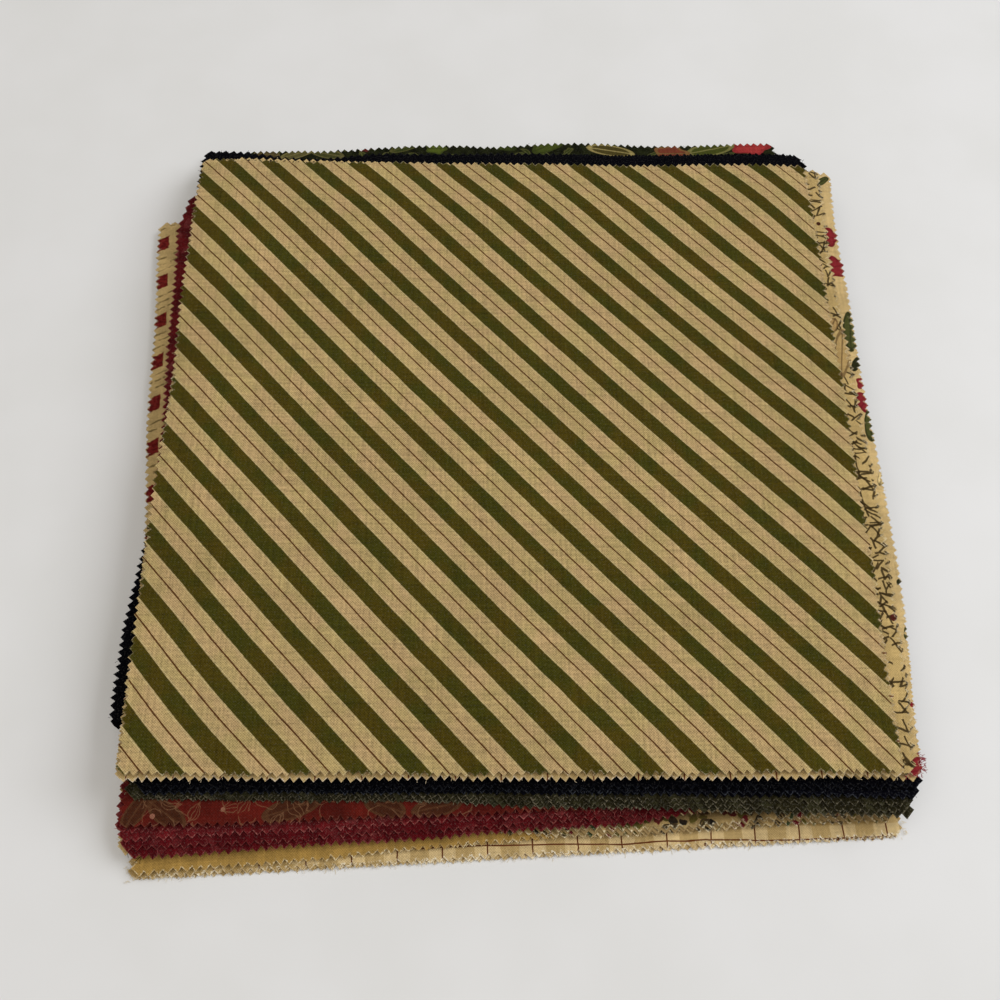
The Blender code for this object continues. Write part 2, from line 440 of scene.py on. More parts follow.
def laid_sheet(square, number):
    """One square as a closed sheet at its place in the pile."""
    bm = flat_square.copy()
    along, back = axes_of(square)
    chance = np.random.default_rng(number)
    stretch = square["deep"] * MM / SIDE
    for vert in bm.verts:
        u = vert.co.x + WANDER * math.sin(math.tau * vert.co.y / WANDER_LENGTH + number)
        v = vert.co.y + WANDER * math.sin(math.tau * vert.co.x / WANDER_LENGTH + 2 * number)
        if vert.is_boundary:
            u += RAGGED * float(np.clip(chance.normal(), -2, 2))
            v += RAGGED * float(np.clip(chance.normal(), -2, 2))
        u, v = pulled(square["name"], u, v)
        place = Vector((square["x"], square["y"])) * MM + along * u + back * (v * stretch)
        height = height_on(square["bottom"], place.x, place.y)
        vert.co = (place.x + TOP_MIDDLE.x, place.y + TOP_MIDDLE.y, height)

    reverse = bm.faces.layers.float.new(REVERSE)
    underside = bm.faces[:]
    raised = bmesh.ops.extrude_face_region(bm, geom=underside, use_keep_orig=True)["geom"]
    top = [item for item in raised if isinstance(item, bmesh.types.BMVert)]
    bmesh.ops.translate(bm, vec=(0, 0, THICK), verts=top)
    for face in underside:
        face[reverse] = 1
    bmesh.ops.recalc_face_normals(bm, faces=bm.faces[:])

    mesh = bpy.data.meshes.new(square["name"])
    bm.to_mesh(mesh)
    bm.free()
    mesh.shade_smooth()
    mesh.set_sharp_from_angle(angle=SHARP_ANGLE)
    sheet = bpy.data.objects.new(square["name"], mesh)
    scene.collection.objects.link(sheet)
    return sheet


for number, square in enumerate(squares):
    square["sheet"] = laid_sheet(square, number)
flat_square.free()
print("sheets:", len(squares), "of", len(squares[0]["sheet"].data.polygons), "faces each")

# %% [markdown]
# Shader nodes are easier to read when a line of code says what one node does. These helpers add a
# node, connect a value or another node's output to a socket, and return the output. The Mix node
# has sockets for every kind of data, so those for colours are known by their places in the list.

# %% Helpers for shader nodes
MIX_FACTOR = 0
MIX_LOW = 6
MIX_HIGH = 7
MIX_RESULT = 2


def linear(channel):
    """One colour channel, 0 to 255 as seen, as the light value that a shader takes."""
    value = channel / 255
    return value / 12.92 if value <= 0.04045 else ((value + 0.055) / 1.055) ** 2.4


def seen(red, green, blue):
    """A colour as a shader takes it, from its red, green and blue as seen, 0 to 255."""
    return (linear(red), linear(green), linear(blue), 1)


def connect(tree, value, socket):
    """Links an output to a socket, or writes a plain value into it."""
    if isinstance(value, bpy.types.NodeSocket):
        tree.links.new(value, socket)
    elif value is not None:
        socket.default_value = value


def calculate(tree, operation, *values):
    node = tree.nodes.new("ShaderNodeMath")
    node.operation = operation
    for value, socket in zip(values, node.inputs):
        connect(tree, value, socket)
    return node.outputs[0]


def vector_step(tree, operation, *values):
    node = tree.nodes.new("ShaderNodeVectorMath")
    node.operation = operation
    for value, socket in zip(values, node.inputs):
        connect(tree, value, socket)
    return node.outputs[0]


def blend(tree, mask, low, high, kind="MIX"):
    """The low colour, and the high one where the mask is 1."""
    node = tree.nodes.new("ShaderNodeMix")
    node.data_type = "RGBA"
    node.blend_type = kind
    connect(tree, mask, node.inputs[MIX_FACTOR])
    connect(tree, low, node.inputs[MIX_LOW])
    connect(tree, high, node.inputs[MIX_HIGH])
    return node.outputs[MIX_RESULT]


def fade(tree, value, start, end, low=0.0, high=1.0):
    """Goes softly from low to high as a value goes from start to end."""
    node = tree.nodes.new("ShaderNodeMapRange")
    node.interpolation_type = "SMOOTHSTEP"
    for name, entry in (("Value", value), ("From Min", start), ("From Max", end),
                        ("To Min", low), ("To Max", high)):
        connect(tree, entry, node.inputs[name])
    return node.outputs["Result"]


def noise(tree, place, size, detail=2.0, output="Fac"):
    """Cloudy noise whose clouds are about a size across, in metres."""
    node = tree.nodes.new("ShaderNodeTexNoise")
    connect(tree, place, node.inputs["Vector"])
    node.inputs["Scale"].default_value = 1 / size
    node.inputs["Detail"].default_value = detail
    return node.outputs[output]


def parts_of(tree, vector):
    """The x and y of a vector."""
    node = tree.nodes.new("ShaderNodeSeparateXYZ")
    connect(tree, vector, node.inputs[0])
    return node.outputs[0], node.outputs[1]


def joined(tree, x, y):
    """A vector from its x and y."""
    node = tree.nodes.new("ShaderNodeCombineXYZ")
    connect(tree, x, node.inputs[0])
    connect(tree, y, node.inputs[1])
    return node.outputs[0]


def new_group(name, inputs, outputs):
    """A shader node group with named sockets: its tree, its inputs and the node for its outputs."""
    tree = bpy.data.node_groups.new(name, "ShaderNodeTree")
    for socket_name, kind in inputs:
        tree.interface.new_socket(socket_name, in_out="INPUT", socket_type=kind)
    for socket_name, kind in outputs:
        tree.interface.new_socket(socket_name, in_out="OUTPUT", socket_type=kind)
    source = tree.nodes.new("NodeGroupInput")
    return tree, source.outputs, tree.nodes.new("NodeGroupOutput")


def use(tree, group, **values):
    """Places a group in a tree. Keywords name its inputs, with _ for a space."""
    node = tree.nodes.new("ShaderNodeGroup")
    node.node_tree = group
    for name, value in values.items():
        connect(tree, value, node.inputs[name.replace("_", " ").capitalize()])
    return node.outputs


VALUE = "NodeSocketFloat"
PLACE = "NodeSocketVector"

# %% [markdown]
# ## The cloth itself
# Quilting cotton is a plain weave: each thread passes over one and under the next, so the
# crossings make a tiny checkerboard, here 0.42 mm from thread to thread. Some threads are thicker
# than others and take the dye a little differently, which gives long faint streaks in both
# directions. One group makes all this for every square. It puts out a tone and a height.

# %% The plain weave
THREAD = 0.42 * MM
BLOTCH = 0.7 * MM
DRIFT = 0.5 * MM                           # how far the threads run off a straight line
DRIFT_LENGTH = 5 * MM
STREAK = 0.9 * MM
STREAK_SQUEEZE = 0.04                      # streaks are 25 times as long as they are wide
CROSSING_TONE = 0.35


def jitter(tree, place, size, amount, detail=2.0):
    """Noise around zero, up to about half the amount either way."""
    cloud = noise(tree, place, size, detail)
    return calculate(tree, "MULTIPLY_ADD", cloud, amount, -amount / 2)


def weave_group():
    tree, given, out = new_group("plain weave", [("Place", PLACE)],
                                 [("Tone", VALUE), ("Height", VALUE)])
    x, y = parts_of(tree, given["Place"])
    ridges = []
    tone = jitter(tree, given["Place"], BLOTCH, 1.3, detail=3)
    for along, across in ((x, y), (y, x)):
        drift = jitter(tree, given["Place"], DRIFT_LENGTH, DRIFT)
        turns = calculate(tree, "MULTIPLY", calculate(tree, "ADD", along, drift), math.pi / THREAD)
        ridges.append(calculate(tree, "SINE", turns))
        squeezed = joined(tree, along, calculate(tree, "MULTIPLY", across, STREAK_SQUEEZE))
        tone = calculate(tree, "ADD", tone, jitter(tree, squeezed, STREAK, 0.9, detail=3))
    crossing = calculate(tree, "MULTIPLY", *ridges)
    tone = calculate(tree, "ADD", tone, 0.5)
    tone = calculate(tree, "MULTIPLY_ADD", crossing, CROSSING_TONE, tone)
    tree.links.new(tone, out.inputs["Tone"])
    tree.links.new(calculate(tree, "MULTIPLY_ADD", crossing, 0.5, 0.5), out.inputs["Height"])
    return tree


WEAVE = weave_group()
print("weave:", round(10 * MM / THREAD), "threads in a centimetre,", len(WEAVE.nodes), "nodes")

# %% [markdown]
# ## The pinked rim
# Pinking shears cut through the threads, and their short ends stand out pale along the teeth.
# The zigzag outline is worked out again from the place on the cloth, so the group can tell how
# far a point is from the cut. Noise breaks the pale line up, because the ends stick together.

# %% The pale cut threads along the teeth
RAGGED_SIZE = 0.6 * MM                     # ends that stand out more or less than others
PATCH_SIZE = 7 * MM                        # stretches with more or fewer loose ends
BREAK_SIZE = 0.9 * MM                      # gaps where the ends stick together


def rim_group():
    """How pale a point is: most on the cut, and nothing at about a width from it."""
    tree, given, out = new_group("pinked rim", [("Place", PLACE), ("Width", VALUE), ("Seed", VALUE)],
                                 [("Mask", VALUE)])
    x, y = parts_of(tree, given["Place"])
    distances = []
    for along, across in ((x, y), (y, x)):
        steps = calculate(tree, "ADD", along, ROOT_SIDE / 2)
        tooth = calculate(tree, "PINGPONG", calculate(tree, "MULTIPLY", steps, 1 / PITCH), 0.5)
        outline = calculate(tree, "MULTIPLY_ADD", tooth, 2 * TOOTH_DEPTH, ROOT_SIDE / 2)
        inside = calculate(tree, "SUBTRACT", outline, calculate(tree, "ABSOLUTE", across))
        distances.append(calculate(tree, "MULTIPLY", inside, math.sqrt(0.5)))
    nearest = calculate(tree, "MINIMUM", *distances)
    elsewhere = vector_step(tree, "ADD", given["Place"], joined(tree, given["Seed"], given["Seed"]))
    ragged = fade(tree, noise(tree, elsewhere, RAGGED_SIZE, detail=3), 0.35, 0.7, 0.1, 2.2)
    reach = calculate(tree, "MULTIPLY", given["Width"], ragged)
    line = fade(tree, calculate(tree, "DIVIDE", nearest, reach), 1.0, 0.3)
    patch = fade(tree, noise(tree, elsewhere, PATCH_SIZE, detail=2), 0.35, 0.62, 0.2, 1.0)
    broken = fade(tree, noise(tree, elsewhere, BREAK_SIZE, detail=2), 0.38, 0.58, 0.15, 1.15)
    share = calculate(tree, "MULTIPLY", patch, broken)
    tree.links.new(calculate(tree, "MULTIPLY", line, share), out.inputs["Mask"])
    return tree


RIM = rim_group()
print("rim:", len(RIM.nodes), "nodes")

# %% [markdown]
# ## One finish for all squares
# Every material is the same cotton with another print. So one function reads the place on the
# cloth, asks a print for its colour there, and adds the weave, slow changes of tone, the paler
# reverse, lint and the cut threads, before a Principled shader takes colour, roughness and bump.

# %% The cotton that carries a print
ROUGHNESS = 0.92
SPECULAR = 0.01
BUMP_HEIGHT = 0.06 * MM
LINT = seen(190, 186, 176)
FIBRE = 0.6 * MM                           # size of the specks of lint
CLOUD = 45 * MM                            # size of the slow changes of tone
PALE_REVERSE = seen(205, 190, 160)
REVERSE_SHARE = 0.45                       # how much of that shows on the reverse


def place_on_cloth(tree):
    """The place on the flat cloth in metres, with the square's middle at the origin."""
    source = tree.nodes.new("ShaderNodeUVMap")
    source.uv_map = UV_NAME
    centred = vector_step(tree, "SUBTRACT", source.outputs[0], (0.5, 0.5, 0))
    scaled = tree.nodes.new("ShaderNodeVectorMath")
    scaled.operation = "SCALE"
    tree.links.new(centred, scaled.inputs[0])
    scaled.inputs["Scale"].default_value = SIDE
    return scaled.outputs[0]


def attribute(tree, name):
    """A number that the mesh keeps at its points or faces."""
    node = tree.nodes.new("ShaderNodeAttribute")
    node.attribute_name = name
    return node.outputs["Fac"]


def grey(tree, value):
    """A colour with the same value in red, green and blue."""
    node = tree.nodes.new("ShaderNodeCombineColor")
    for socket in node.inputs[:3]:
        tree.links.new(value, socket)
    return node.outputs[0]


def finish_cloth(tree, shader, weave, sheen=0.0):
    """Roughness, sheen and relief, the same for all cottons."""
    rough = calculate(tree, "MULTIPLY_ADD", weave["Tone"], 0.1, ROUGHNESS - 0.05)
    tree.links.new(rough, shader.inputs["Roughness"])
    shader.inputs["Sheen Weight"].default_value = sheen
    shader.inputs["Specular IOR Level"].default_value = SPECULAR
    bump = tree.nodes.new("ShaderNodeBump")
    bump.inputs["Distance"].default_value = BUMP_HEIGHT
    tree.links.new(weave["Height"], bump.inputs["Height"])
    tree.links.new(bump.outputs[0], shader.inputs["Normal"])


def cotton(name, print_colour, cut_colour, cut_width=0.35 * MM, cut_share=0.8, contrast=0.26,
           lint=0.03, sheen=0.02):
    """A cotton whose print_colour(tree, place) gives the colour at a place on the cloth."""
    material = bpy.data.materials.new(name)
    material.use_nodes = True
    tree = material.node_tree
    shader = tree.nodes["Principled BSDF"]
    place = place_on_cloth(tree)
    weave = use(tree, WEAVE, place=place)

    tone = calculate(tree, "MULTIPLY_ADD", weave["Tone"], 2 * contrast, 1 - contrast)
    slow = fade(tree, noise(tree, place, CLOUD, detail=2), 0.3, 0.7, 0.95, 1.05)
    shade = calculate(tree, "MULTIPLY", tone, slow)
    colour = blend(tree, 1.0, print_colour(tree, place), grey(tree, shade), kind="MULTIPLY")
    fibres = fade(tree, noise(tree, place, FIBRE, detail=3), 0.5, 0.8)
    colour = blend(tree, calculate(tree, "MULTIPLY", fibres, lint), colour, LINT)

    paler = blend(tree, REVERSE_SHARE, colour, PALE_REVERSE)
    colour = blend(tree, attribute(tree, REVERSE), colour, paler)
    rim = use(tree, RIM, place=place, width=cut_width, seed=len(name) * 0.37)
    colour = blend(tree, calculate(tree, "MULTIPLY", rim["Mask"], cut_share), colour, cut_colour)

    tree.links.new(colour, shader.inputs["Base Color"])
    finish_cloth(tree, shader, weave, sheen)
    return material


# %% [markdown]
# ## The top square
# The top square is tan with diagonal green bands, and a fine brown pinstripe runs in the middle
# of each tan band. The bands are not quite straight: the cloth was pulled while it was cut and
# smoothed, so the print has slid across its stripes by a millimetre or so, most at the front left
# corner. The table names the places, in mm from the middle, and how far the print slid there.

# %% The diagonal stripe and how it slides
STRIPE_TURN = math.radians(42.9)           # direction across the bands
STRIPE_PERIOD = 13.45 * MM
GREEN_BAND = 5.4 * MM
PINSTRIPE = 0.55 * MM
SOFT_EDGE = 0.15 * MM                      # how far the dye of a band fades
SLIDE = "slide"
STRIPE_START = -6.3 * MM                   # from the middle to the nearest pinstripe

SLIDE_COLUMNS = ("x", "y", "reach", "slide")
SLIDES = (
    (-127, -127,  60,  2.2),
    (-127, -127, 130,  2.4),
    (-127,  -10,  60,  0.4),
    (-110,   75,  90, -0.8),
    ( -80,  127,  40,  0.9),
    ( -20,  127,  40,  0.9),
    ( 100,  127,  60, -1.4),
    (  70, -127,  90, -1.3),
    ( 110,  -40,  80, -0.8),
)
slides = [dict(zip(SLIDE_COLUMNS, row)) for row in SLIDES]

TAN = seen(166, 145, 96)
ROSY_TAN = seen(171, 144, 101)
PALE_TAN = seen(180, 165, 120)             # the cloth beside a green band
PIN_BROWN = seen(78, 45, 15)
MOSS = seen(58, 56, 14)
BROWN_MOSS = seen(68, 57, 13)


def mark_slide(sheet):
    """Stores at each vertex how far the print has slid across its bands, in metres."""
    layer = sheet.data.attributes.new(SLIDE, "FLOAT", "POINT")
    flat_places = {}
    cloth = sheet.data.uv_layers[UV_NAME].data
    for loop in sheet.data.loops:
        flat_places[loop.vertex_index] = (cloth[loop.index].uv - Vector((0.5, 0.5))) * SIDE
    across = Vector((math.cos(STRIPE_TURN), math.sin(STRIPE_TURN)))
    for vert, entry in zip(sheet.data.vertices, layer.data):
        place = vert.co.xy - TOP_MIDDLE
        slide = sum(row["slide"] * MM * nearness(*place, row) for row in slides)
        moved = place - flat_places[vert.index]
        entry.value = STRIPE_START + slide + moved.dot(across)


def stripe_print(tree, place):
    """Green bands and pinstripes, by the distance from the nearest pinstripe."""
    x, y = parts_of(tree, place)
    across = calculate(tree, "MULTIPLY", x, math.cos(STRIPE_TURN))
    across = calculate(tree, "MULTIPLY_ADD", y, math.sin(STRIPE_TURN), across)
    for shift in (attribute(tree, SLIDE),
                  jitter(tree, place, 12 * MM, 0.5 * MM),
                  jitter(tree, place, 0.9 * MM, 0.25 * MM)):
        across = calculate(tree, "ADD", across, shift)
    from_pin = calculate(tree, "PINGPONG", across, STRIPE_PERIOD / 2)
    edge = (STRIPE_PERIOD - GREEN_BAND) / 2
    green = fade(tree, from_pin, edge - SOFT_EDGE, edge + SOFT_EDGE)
    from_edge = calculate(tree, "ABSOLUTE", calculate(tree, "SUBTRACT", from_pin, edge - 0.3 * MM))
    halo = fade(tree, from_edge, 0.35 * MM, 0.1 * MM, 0, 0.4)
    pin = fade(tree, from_pin, PINSTRIPE / 2 + 0.08 * MM, PINSTRIPE / 2 - 0.12 * MM)
    cloud = fade(tree, noise(tree, place, 11 * MM, detail=3), 0.35, 0.65)
    colour = blend(tree, halo, blend(tree, cloud, TAN, ROSY_TAN), PALE_TAN)
    colour = blend(tree, pin, colour, PIN_BROWN)
    slower_cloud = fade(tree, noise(tree, place, 14 * MM), 0.35, 0.65)
    return blend(tree, green, colour, blend(tree, slower_cloud, MOSS, BROWN_MOSS))


for square in squares:
    if square["kind"] == "stripe":
        mark_slide(square["sheet"])
print("stripes:", round(SIDE * math.sqrt(2) / STRIPE_PERIOD), "green bands from corner to corner")

# %% [markdown]
# ## The other prints
# First a plain one, for squares that show only their cut edge. It is also the ground of the
# plain-dyed cottons, whose colour is slightly uneven.

# %% Plain cottons
def plain_print(*colour, spread_share=0.12, size=6 * MM):
    """A print of one colour that is slightly darker in some places and lighter in others."""
    def colour_at(tree, place):
        cloud = fade(tree, noise(tree, place, size, detail=3), 0.3, 0.7)
        low = seen(*[channel * (1 - spread_share) for channel in colour])
        high = seen(*[channel * (1 + spread_share) for channel in colour])
        return blend(tree, cloud, low, high)
    return colour_at


# %% [markdown]
# Two cottons carry fine brown lines, crossed at a right angle. The lower one also has darker tan
# bars between its lines. A group gives both masks, and each cotton uses it with its own offset
# and turn, because a square is never cut quite along its print.

# %% Crossed fine lines and tan bars
PANE_SPACING = 14.87 * MM
PANE_LINE = 0.45 * MM
PANE_BROWN = seen(88, 44, 20)
BAR_START = 0.29                           # distance of a bar's edge from a line, in spacings


def turned(tree, vector, angle):
    node = tree.nodes.new("ShaderNodeVectorRotate")
    node.rotation_type = "Z_AXIS"
    connect(tree, vector, node.inputs["Vector"])
    connect(tree, angle, node.inputs["Angle"])
    return node.outputs[0]


def pane_group():
    tree, given, out = new_group("crossed lines", [("Place", PLACE), ("Offset", PLACE), ("Turn", VALUE),
                                                   ("Spacing", VALUE), ("Width", VALUE)],
                                 [("Lines", VALUE), ("Bars", VALUE)])
    bend = jitter(tree, given["Place"], 25 * MM, 1.2 * MM)
    bent = vector_step(tree, "ADD", given["Place"], joined(tree, bend, bend))
    moved = vector_step(tree, "SUBTRACT", turned(tree, bent, given["Turn"]), given["Offset"])
    lines = []
    bars = []
    half = calculate(tree, "MULTIPLY", given["Width"], 0.5)
    for part in parts_of(tree, moved):
        away = calculate(tree, "PINGPONG", part, calculate(tree, "MULTIPLY", given["Spacing"], 0.5))
        lines.append(fade(tree, away, calculate(tree, "ADD", half, 0.12 * MM),
                          calculate(tree, "SUBTRACT", half, 0.08 * MM)))
        share = calculate(tree, "DIVIDE", away, given["Spacing"])
        bars.append(fade(tree, share, BAR_START - 0.01, BAR_START + 0.01))
    tree.links.new(calculate(tree, "MAXIMUM", *lines), out.inputs["Lines"])
    bar = calculate(tree, "MULTIPLY", calculate(tree, "MAXIMUM", *bars), 0.7)
    crossed = calculate(tree, "MULTIPLY", calculate(tree, "MULTIPLY", *bars), 0.3)
    tree.links.new(calculate(tree, "ADD", bar, crossed), out.inputs["Bars"])
    return tree


PANES = pane_group()
print("panes:", round(SIDE / PANE_SPACING), "lines across a square")


def pane_print(ground, bar_colour, offset, turn):
    """Crossed lines on a ground, with bars between them."""
    def colour_at(tree, place):
        panes = use(tree, PANES, place=place, offset=offset, turn=math.radians(turn),
                    spacing=PANE_SPACING, width=PANE_LINE)
        colour = plain_print(*ground, spread_share=0.04)(tree, place)
        colour = blend(tree, panes["Bars"], colour, seen(*bar_colour))
        return blend(tree, panes["Lines"], colour, PANE_BROWN)
    return colour_at


# %% [markdown]
# Several cottons are strewn with twigs and leaves, drawn as thin strokes. A Voronoi texture
# splits the cloth into cells, and each cell holds one leaf at its own angle: two bent outlines
# and a rib. Cells whose random colour is above a share stay empty, and noise bends the strokes.
# Half a ring around each cell's middle gives the curls of one of the prints.

# %% Strewn leaves
LEAF_HALF_WIDTH = 0.17                     # this and the next ones count in cells
LEAF_TAPER = 0.95                          # how fast a leaf narrows towards its ends
LEAF_HALF_LENGTH = 0.45
CURL_RADIUS = 0.33


def cell_places(tree, given, bend):
    """Cells of a size: the place in a cell along two turned axes, its random numbers, its radius."""
    unit = tree.nodes.new("ShaderNodeVectorMath")
    unit.operation = "SCALE"
    connect(tree, given["Place"], unit.inputs[0])
    connect(tree, calculate(tree, "DIVIDE", 1.0, given["Size"]), unit.inputs["Scale"])
    seeded = vector_step(tree, "ADD", unit.outputs[0], joined(tree, given["Seed"], given["Seed"]))
    bent = vector_step(tree, "ADD", seeded, joined(tree, *[
        jitter(tree, vector_step(tree, "ADD", seeded, (step, step, 0)), 0.9, bend) for step in (3, 8)]))
    cells = tree.nodes.new("ShaderNodeTexVoronoi")
    cells.voronoi_dimensions = "2D"
    cells.inputs["Scale"].default_value = 1
    cells.inputs["Randomness"].default_value = 0.85
    tree.links.new(bent, cells.inputs["Vector"])
    random = tree.nodes.new("ShaderNodeSeparateColor")
    tree.links.new(cells.outputs["Color"], random.inputs[0])
    local = vector_step(tree, "SUBTRACT", bent, cells.outputs["Position"])
    angle = calculate(tree, "MULTIPLY", random.outputs[0], math.tau)
    a, b = parts_of(tree, turned(tree, local, angle))
    return a, b, random.outputs, cells.outputs["Distance"]


def sprig_group():
    tree, given, out = new_group("strewn leaves", [("Place", PLACE), ("Size", VALUE), ("Width", VALUE),
                                                   ("Share", VALUE), ("Seed", VALUE)],
                                 [("Stroke", VALUE), ("Fill", VALUE), ("Curl", VALUE)])
    a, b, random, radius = cell_places(tree, given, 0.7)
    flat = calculate(tree, "ABSOLUTE", b)
    length = calculate(tree, "ABSOLUTE", a)
    squared = calculate(tree, "MULTIPLY", a, a)
    bulge = calculate(tree, "MULTIPLY_ADD", squared, -LEAF_TAPER, LEAF_HALF_WIDTH)
    from_outline = calculate(tree, "ABSOLUTE", calculate(tree, "SUBTRACT", flat, bulge))
    width = calculate(tree, "DIVIDE", given["Width"], given["Size"])
    outer = calculate(tree, "MULTIPLY", width, 0.75)
    inner = calculate(tree, "MULTIPLY", width, 0.35)
    outline = fade(tree, from_outline, outer, inner)
    rib = fade(tree, flat, outer, inner)
    stroke = calculate(tree, "MAXIMUM", outline, rib)
    present = calculate(tree, "LESS_THAN", random[1], given["Share"])
    short = fade(tree, length, LEAF_HALF_LENGTH + 0.02, LEAF_HALF_LENGTH - 0.02)
    present = calculate(tree, "MULTIPLY", present, short)
    fill = fade(tree, calculate(tree, "SUBTRACT", flat, bulge), 0.03, -0.03)
    from_ring = calculate(tree, "ABSOLUTE", calculate(tree, "SUBTRACT", radius, CURL_RADIUS))
    curl = calculate(tree, "MULTIPLY", fade(tree, from_ring, outer, inner), fade(tree, b, -0.1, 0.0))
    for name, mask in (("Stroke", stroke), ("Fill", fill)):
        tree.links.new(calculate(tree, "MULTIPLY", mask, present), out.inputs[name])
    tree.links.new(curl, out.inputs["Curl"])
    return tree


SPRIGS = sprig_group()
print("leaves:", len(SPRIGS.nodes), "nodes")

# %% [markdown]
# Twigs are simpler. Each Voronoi cell holds one fork: two straight strokes that meet at a point,
# and a short stem behind it. Where the cell ends the strokes end too, so no two forks are alike.

# %% Strewn forks of twig
FORK_START = -0.36                         # where the arms meet, counted in cells
FORK_OPENING = 0.45                        # how far an arm leads aside for each step ahead
FORK_OFFSET = 0.17
ARM_COSINE = 0.91                          # turns a distance aside into one square to the arm
FAR_AWAY = 10.0


def twig_group():
    tree, given, out = new_group("strewn twigs", [("Place", PLACE), ("Size", VALUE), ("Width", VALUE),
                                                  ("Share", VALUE), ("Seed", VALUE)],
                                 [("Stroke", VALUE)])
    a, b, random, _ = cell_places(tree, given, 0.3)
    flat = calculate(tree, "ABSOLUTE", b)
    arm = calculate(tree, "MULTIPLY_ADD", a, FORK_OPENING, FORK_OFFSET)
    from_arm = calculate(tree, "MULTIPLY", calculate(tree, "SUBTRACT", flat, arm), ARM_COSINE)
    from_arm = calculate(tree, "ABSOLUTE", from_arm)
    behind = calculate(tree, "LESS_THAN", a, FORK_START)
    from_arm = calculate(tree, "MULTIPLY_ADD", behind, FAR_AWAY, from_arm)
    ahead = calculate(tree, "GREATER_THAN", a, FORK_START)
    from_stem = calculate(tree, "MULTIPLY_ADD", ahead, FAR_AWAY, flat)
    nearest = calculate(tree, "MINIMUM", from_arm, from_stem)
    width = calculate(tree, "DIVIDE", given["Width"], given["Size"])
    stroke = fade(tree, nearest, calculate(tree, "MULTIPLY", width, 0.65),
                  calculate(tree, "MULTIPLY", width, 0.35))
    present = calculate(tree, "LESS_THAN", random[1], given["Share"])
    tree.links.new(calculate(tree, "MULTIPLY", stroke, present), out.inputs["Stroke"])
    return tree


TWIGS = twig_group()
print("twigs:", len(TWIGS.nodes), "nodes")

# %% [markdown]
# Flowers and large leaves sit at chosen places, so that the strips that show in the fan carry
# them. A group draws one motif: an ellipse whose edge swells and shrinks a few times around, for
# petals. A chart then lists what to draw, with places and sizes in mm on the flat cloth. They
# are ordinary flower and leaf shapes, in the colours that such cottons have.

# %% Flowers and leaves from a chart
MOTIF_COLUMNS = ("x", "y", "long", "wide", "turn", "lobes", "fill", "outline")
PETAL_SWELL = 0.13                         # how much further a petal reaches than the mean edge


def motif_group():
    tree, given, out = new_group("motif", [("Place", PLACE), ("Centre", PLACE), ("Long", VALUE),
                                           ("Wide", VALUE), ("Turn", VALUE), ("Lobes", VALUE)],
                                 [("Mask", VALUE), ("Rim", VALUE), ("Rib", VALUE)])
    away = vector_step(tree, "SUBTRACT", given["Place"], given["Centre"])
    a, b = parts_of(tree, turned(tree, away, calculate(tree, "MULTIPLY", given["Turn"], -1.0)))
    u = calculate(tree, "DIVIDE", a, calculate(tree, "MULTIPLY", given["Long"], 0.5))
    v = calculate(tree, "DIVIDE", b, calculate(tree, "MULTIPLY", given["Wide"], 0.5))
    squares_sum = calculate(tree, "MULTIPLY_ADD", u, u, calculate(tree, "MULTIPLY", v, v))
    around = calculate(tree, "ARCTAN2", v, u)
    swell = calculate(tree, "COSINE", calculate(tree, "MULTIPLY", around, given["Lobes"]))
    edge = calculate(tree, "MULTIPLY_ADD", swell, PETAL_SWELL, 1.0)
    radius = calculate(tree, "DIVIDE", calculate(tree, "SQRT", squares_sum), edge)
    mask = fade(tree, radius, 1.04, 0.96)
    rim = fade(tree, calculate(tree, "ABSOLUTE", calculate(tree, "SUBTRACT", radius, 0.9)), 0.16, 0.06)
    rib = fade(tree, calculate(tree, "ABSOLUTE", b), 0.45 * MM, 0.15 * MM)
    tree.links.new(mask, out.inputs["Mask"])
    tree.links.new(calculate(tree, "MULTIPLY", rim, mask), out.inputs["Rim"])
    tree.links.new(calculate(tree, "MULTIPLY", rib, mask), out.inputs["Rib"])
    return tree


MOTIF = motif_group()


def charted(tree, place, colour, chart):
    """Draws a chart's motifs over a colour."""
    for row in chart:
        motif = dict(zip(MOTIF_COLUMNS, row))
        shape = use(tree, MOTIF, place=place, centre=(motif["x"] * MM, motif["y"] * MM, 0),
                    long=motif["long"] * MM, wide=motif["wide"] * MM,
                    turn=math.radians(motif["turn"]), lobes=motif["lobes"])
        colour = blend(tree, shape["Mask"], colour, seen(*motif["fill"]))
        for line in ("Rim", "Rib"):
            strength = calculate(tree, "MULTIPLY", shape[line], 0.6)
            colour = blend(tree, strength, colour, seen(*motif["outline"]))
    return colour


# %% [markdown]
# The twig print and the flower print show on the right, as two narrow strips. Both are cream. The
# twigs lie in three layers of different size, and the flowers and leaves come from the chart.

# %% The two cottons that show on the right
RED = (124, 36, 40)
DEEP_RED = (98, 24, 30)
LEAF = (68, 70, 34)
DARK_LEAF = (38, 38, 20)
TWIG = (48, 36, 16)

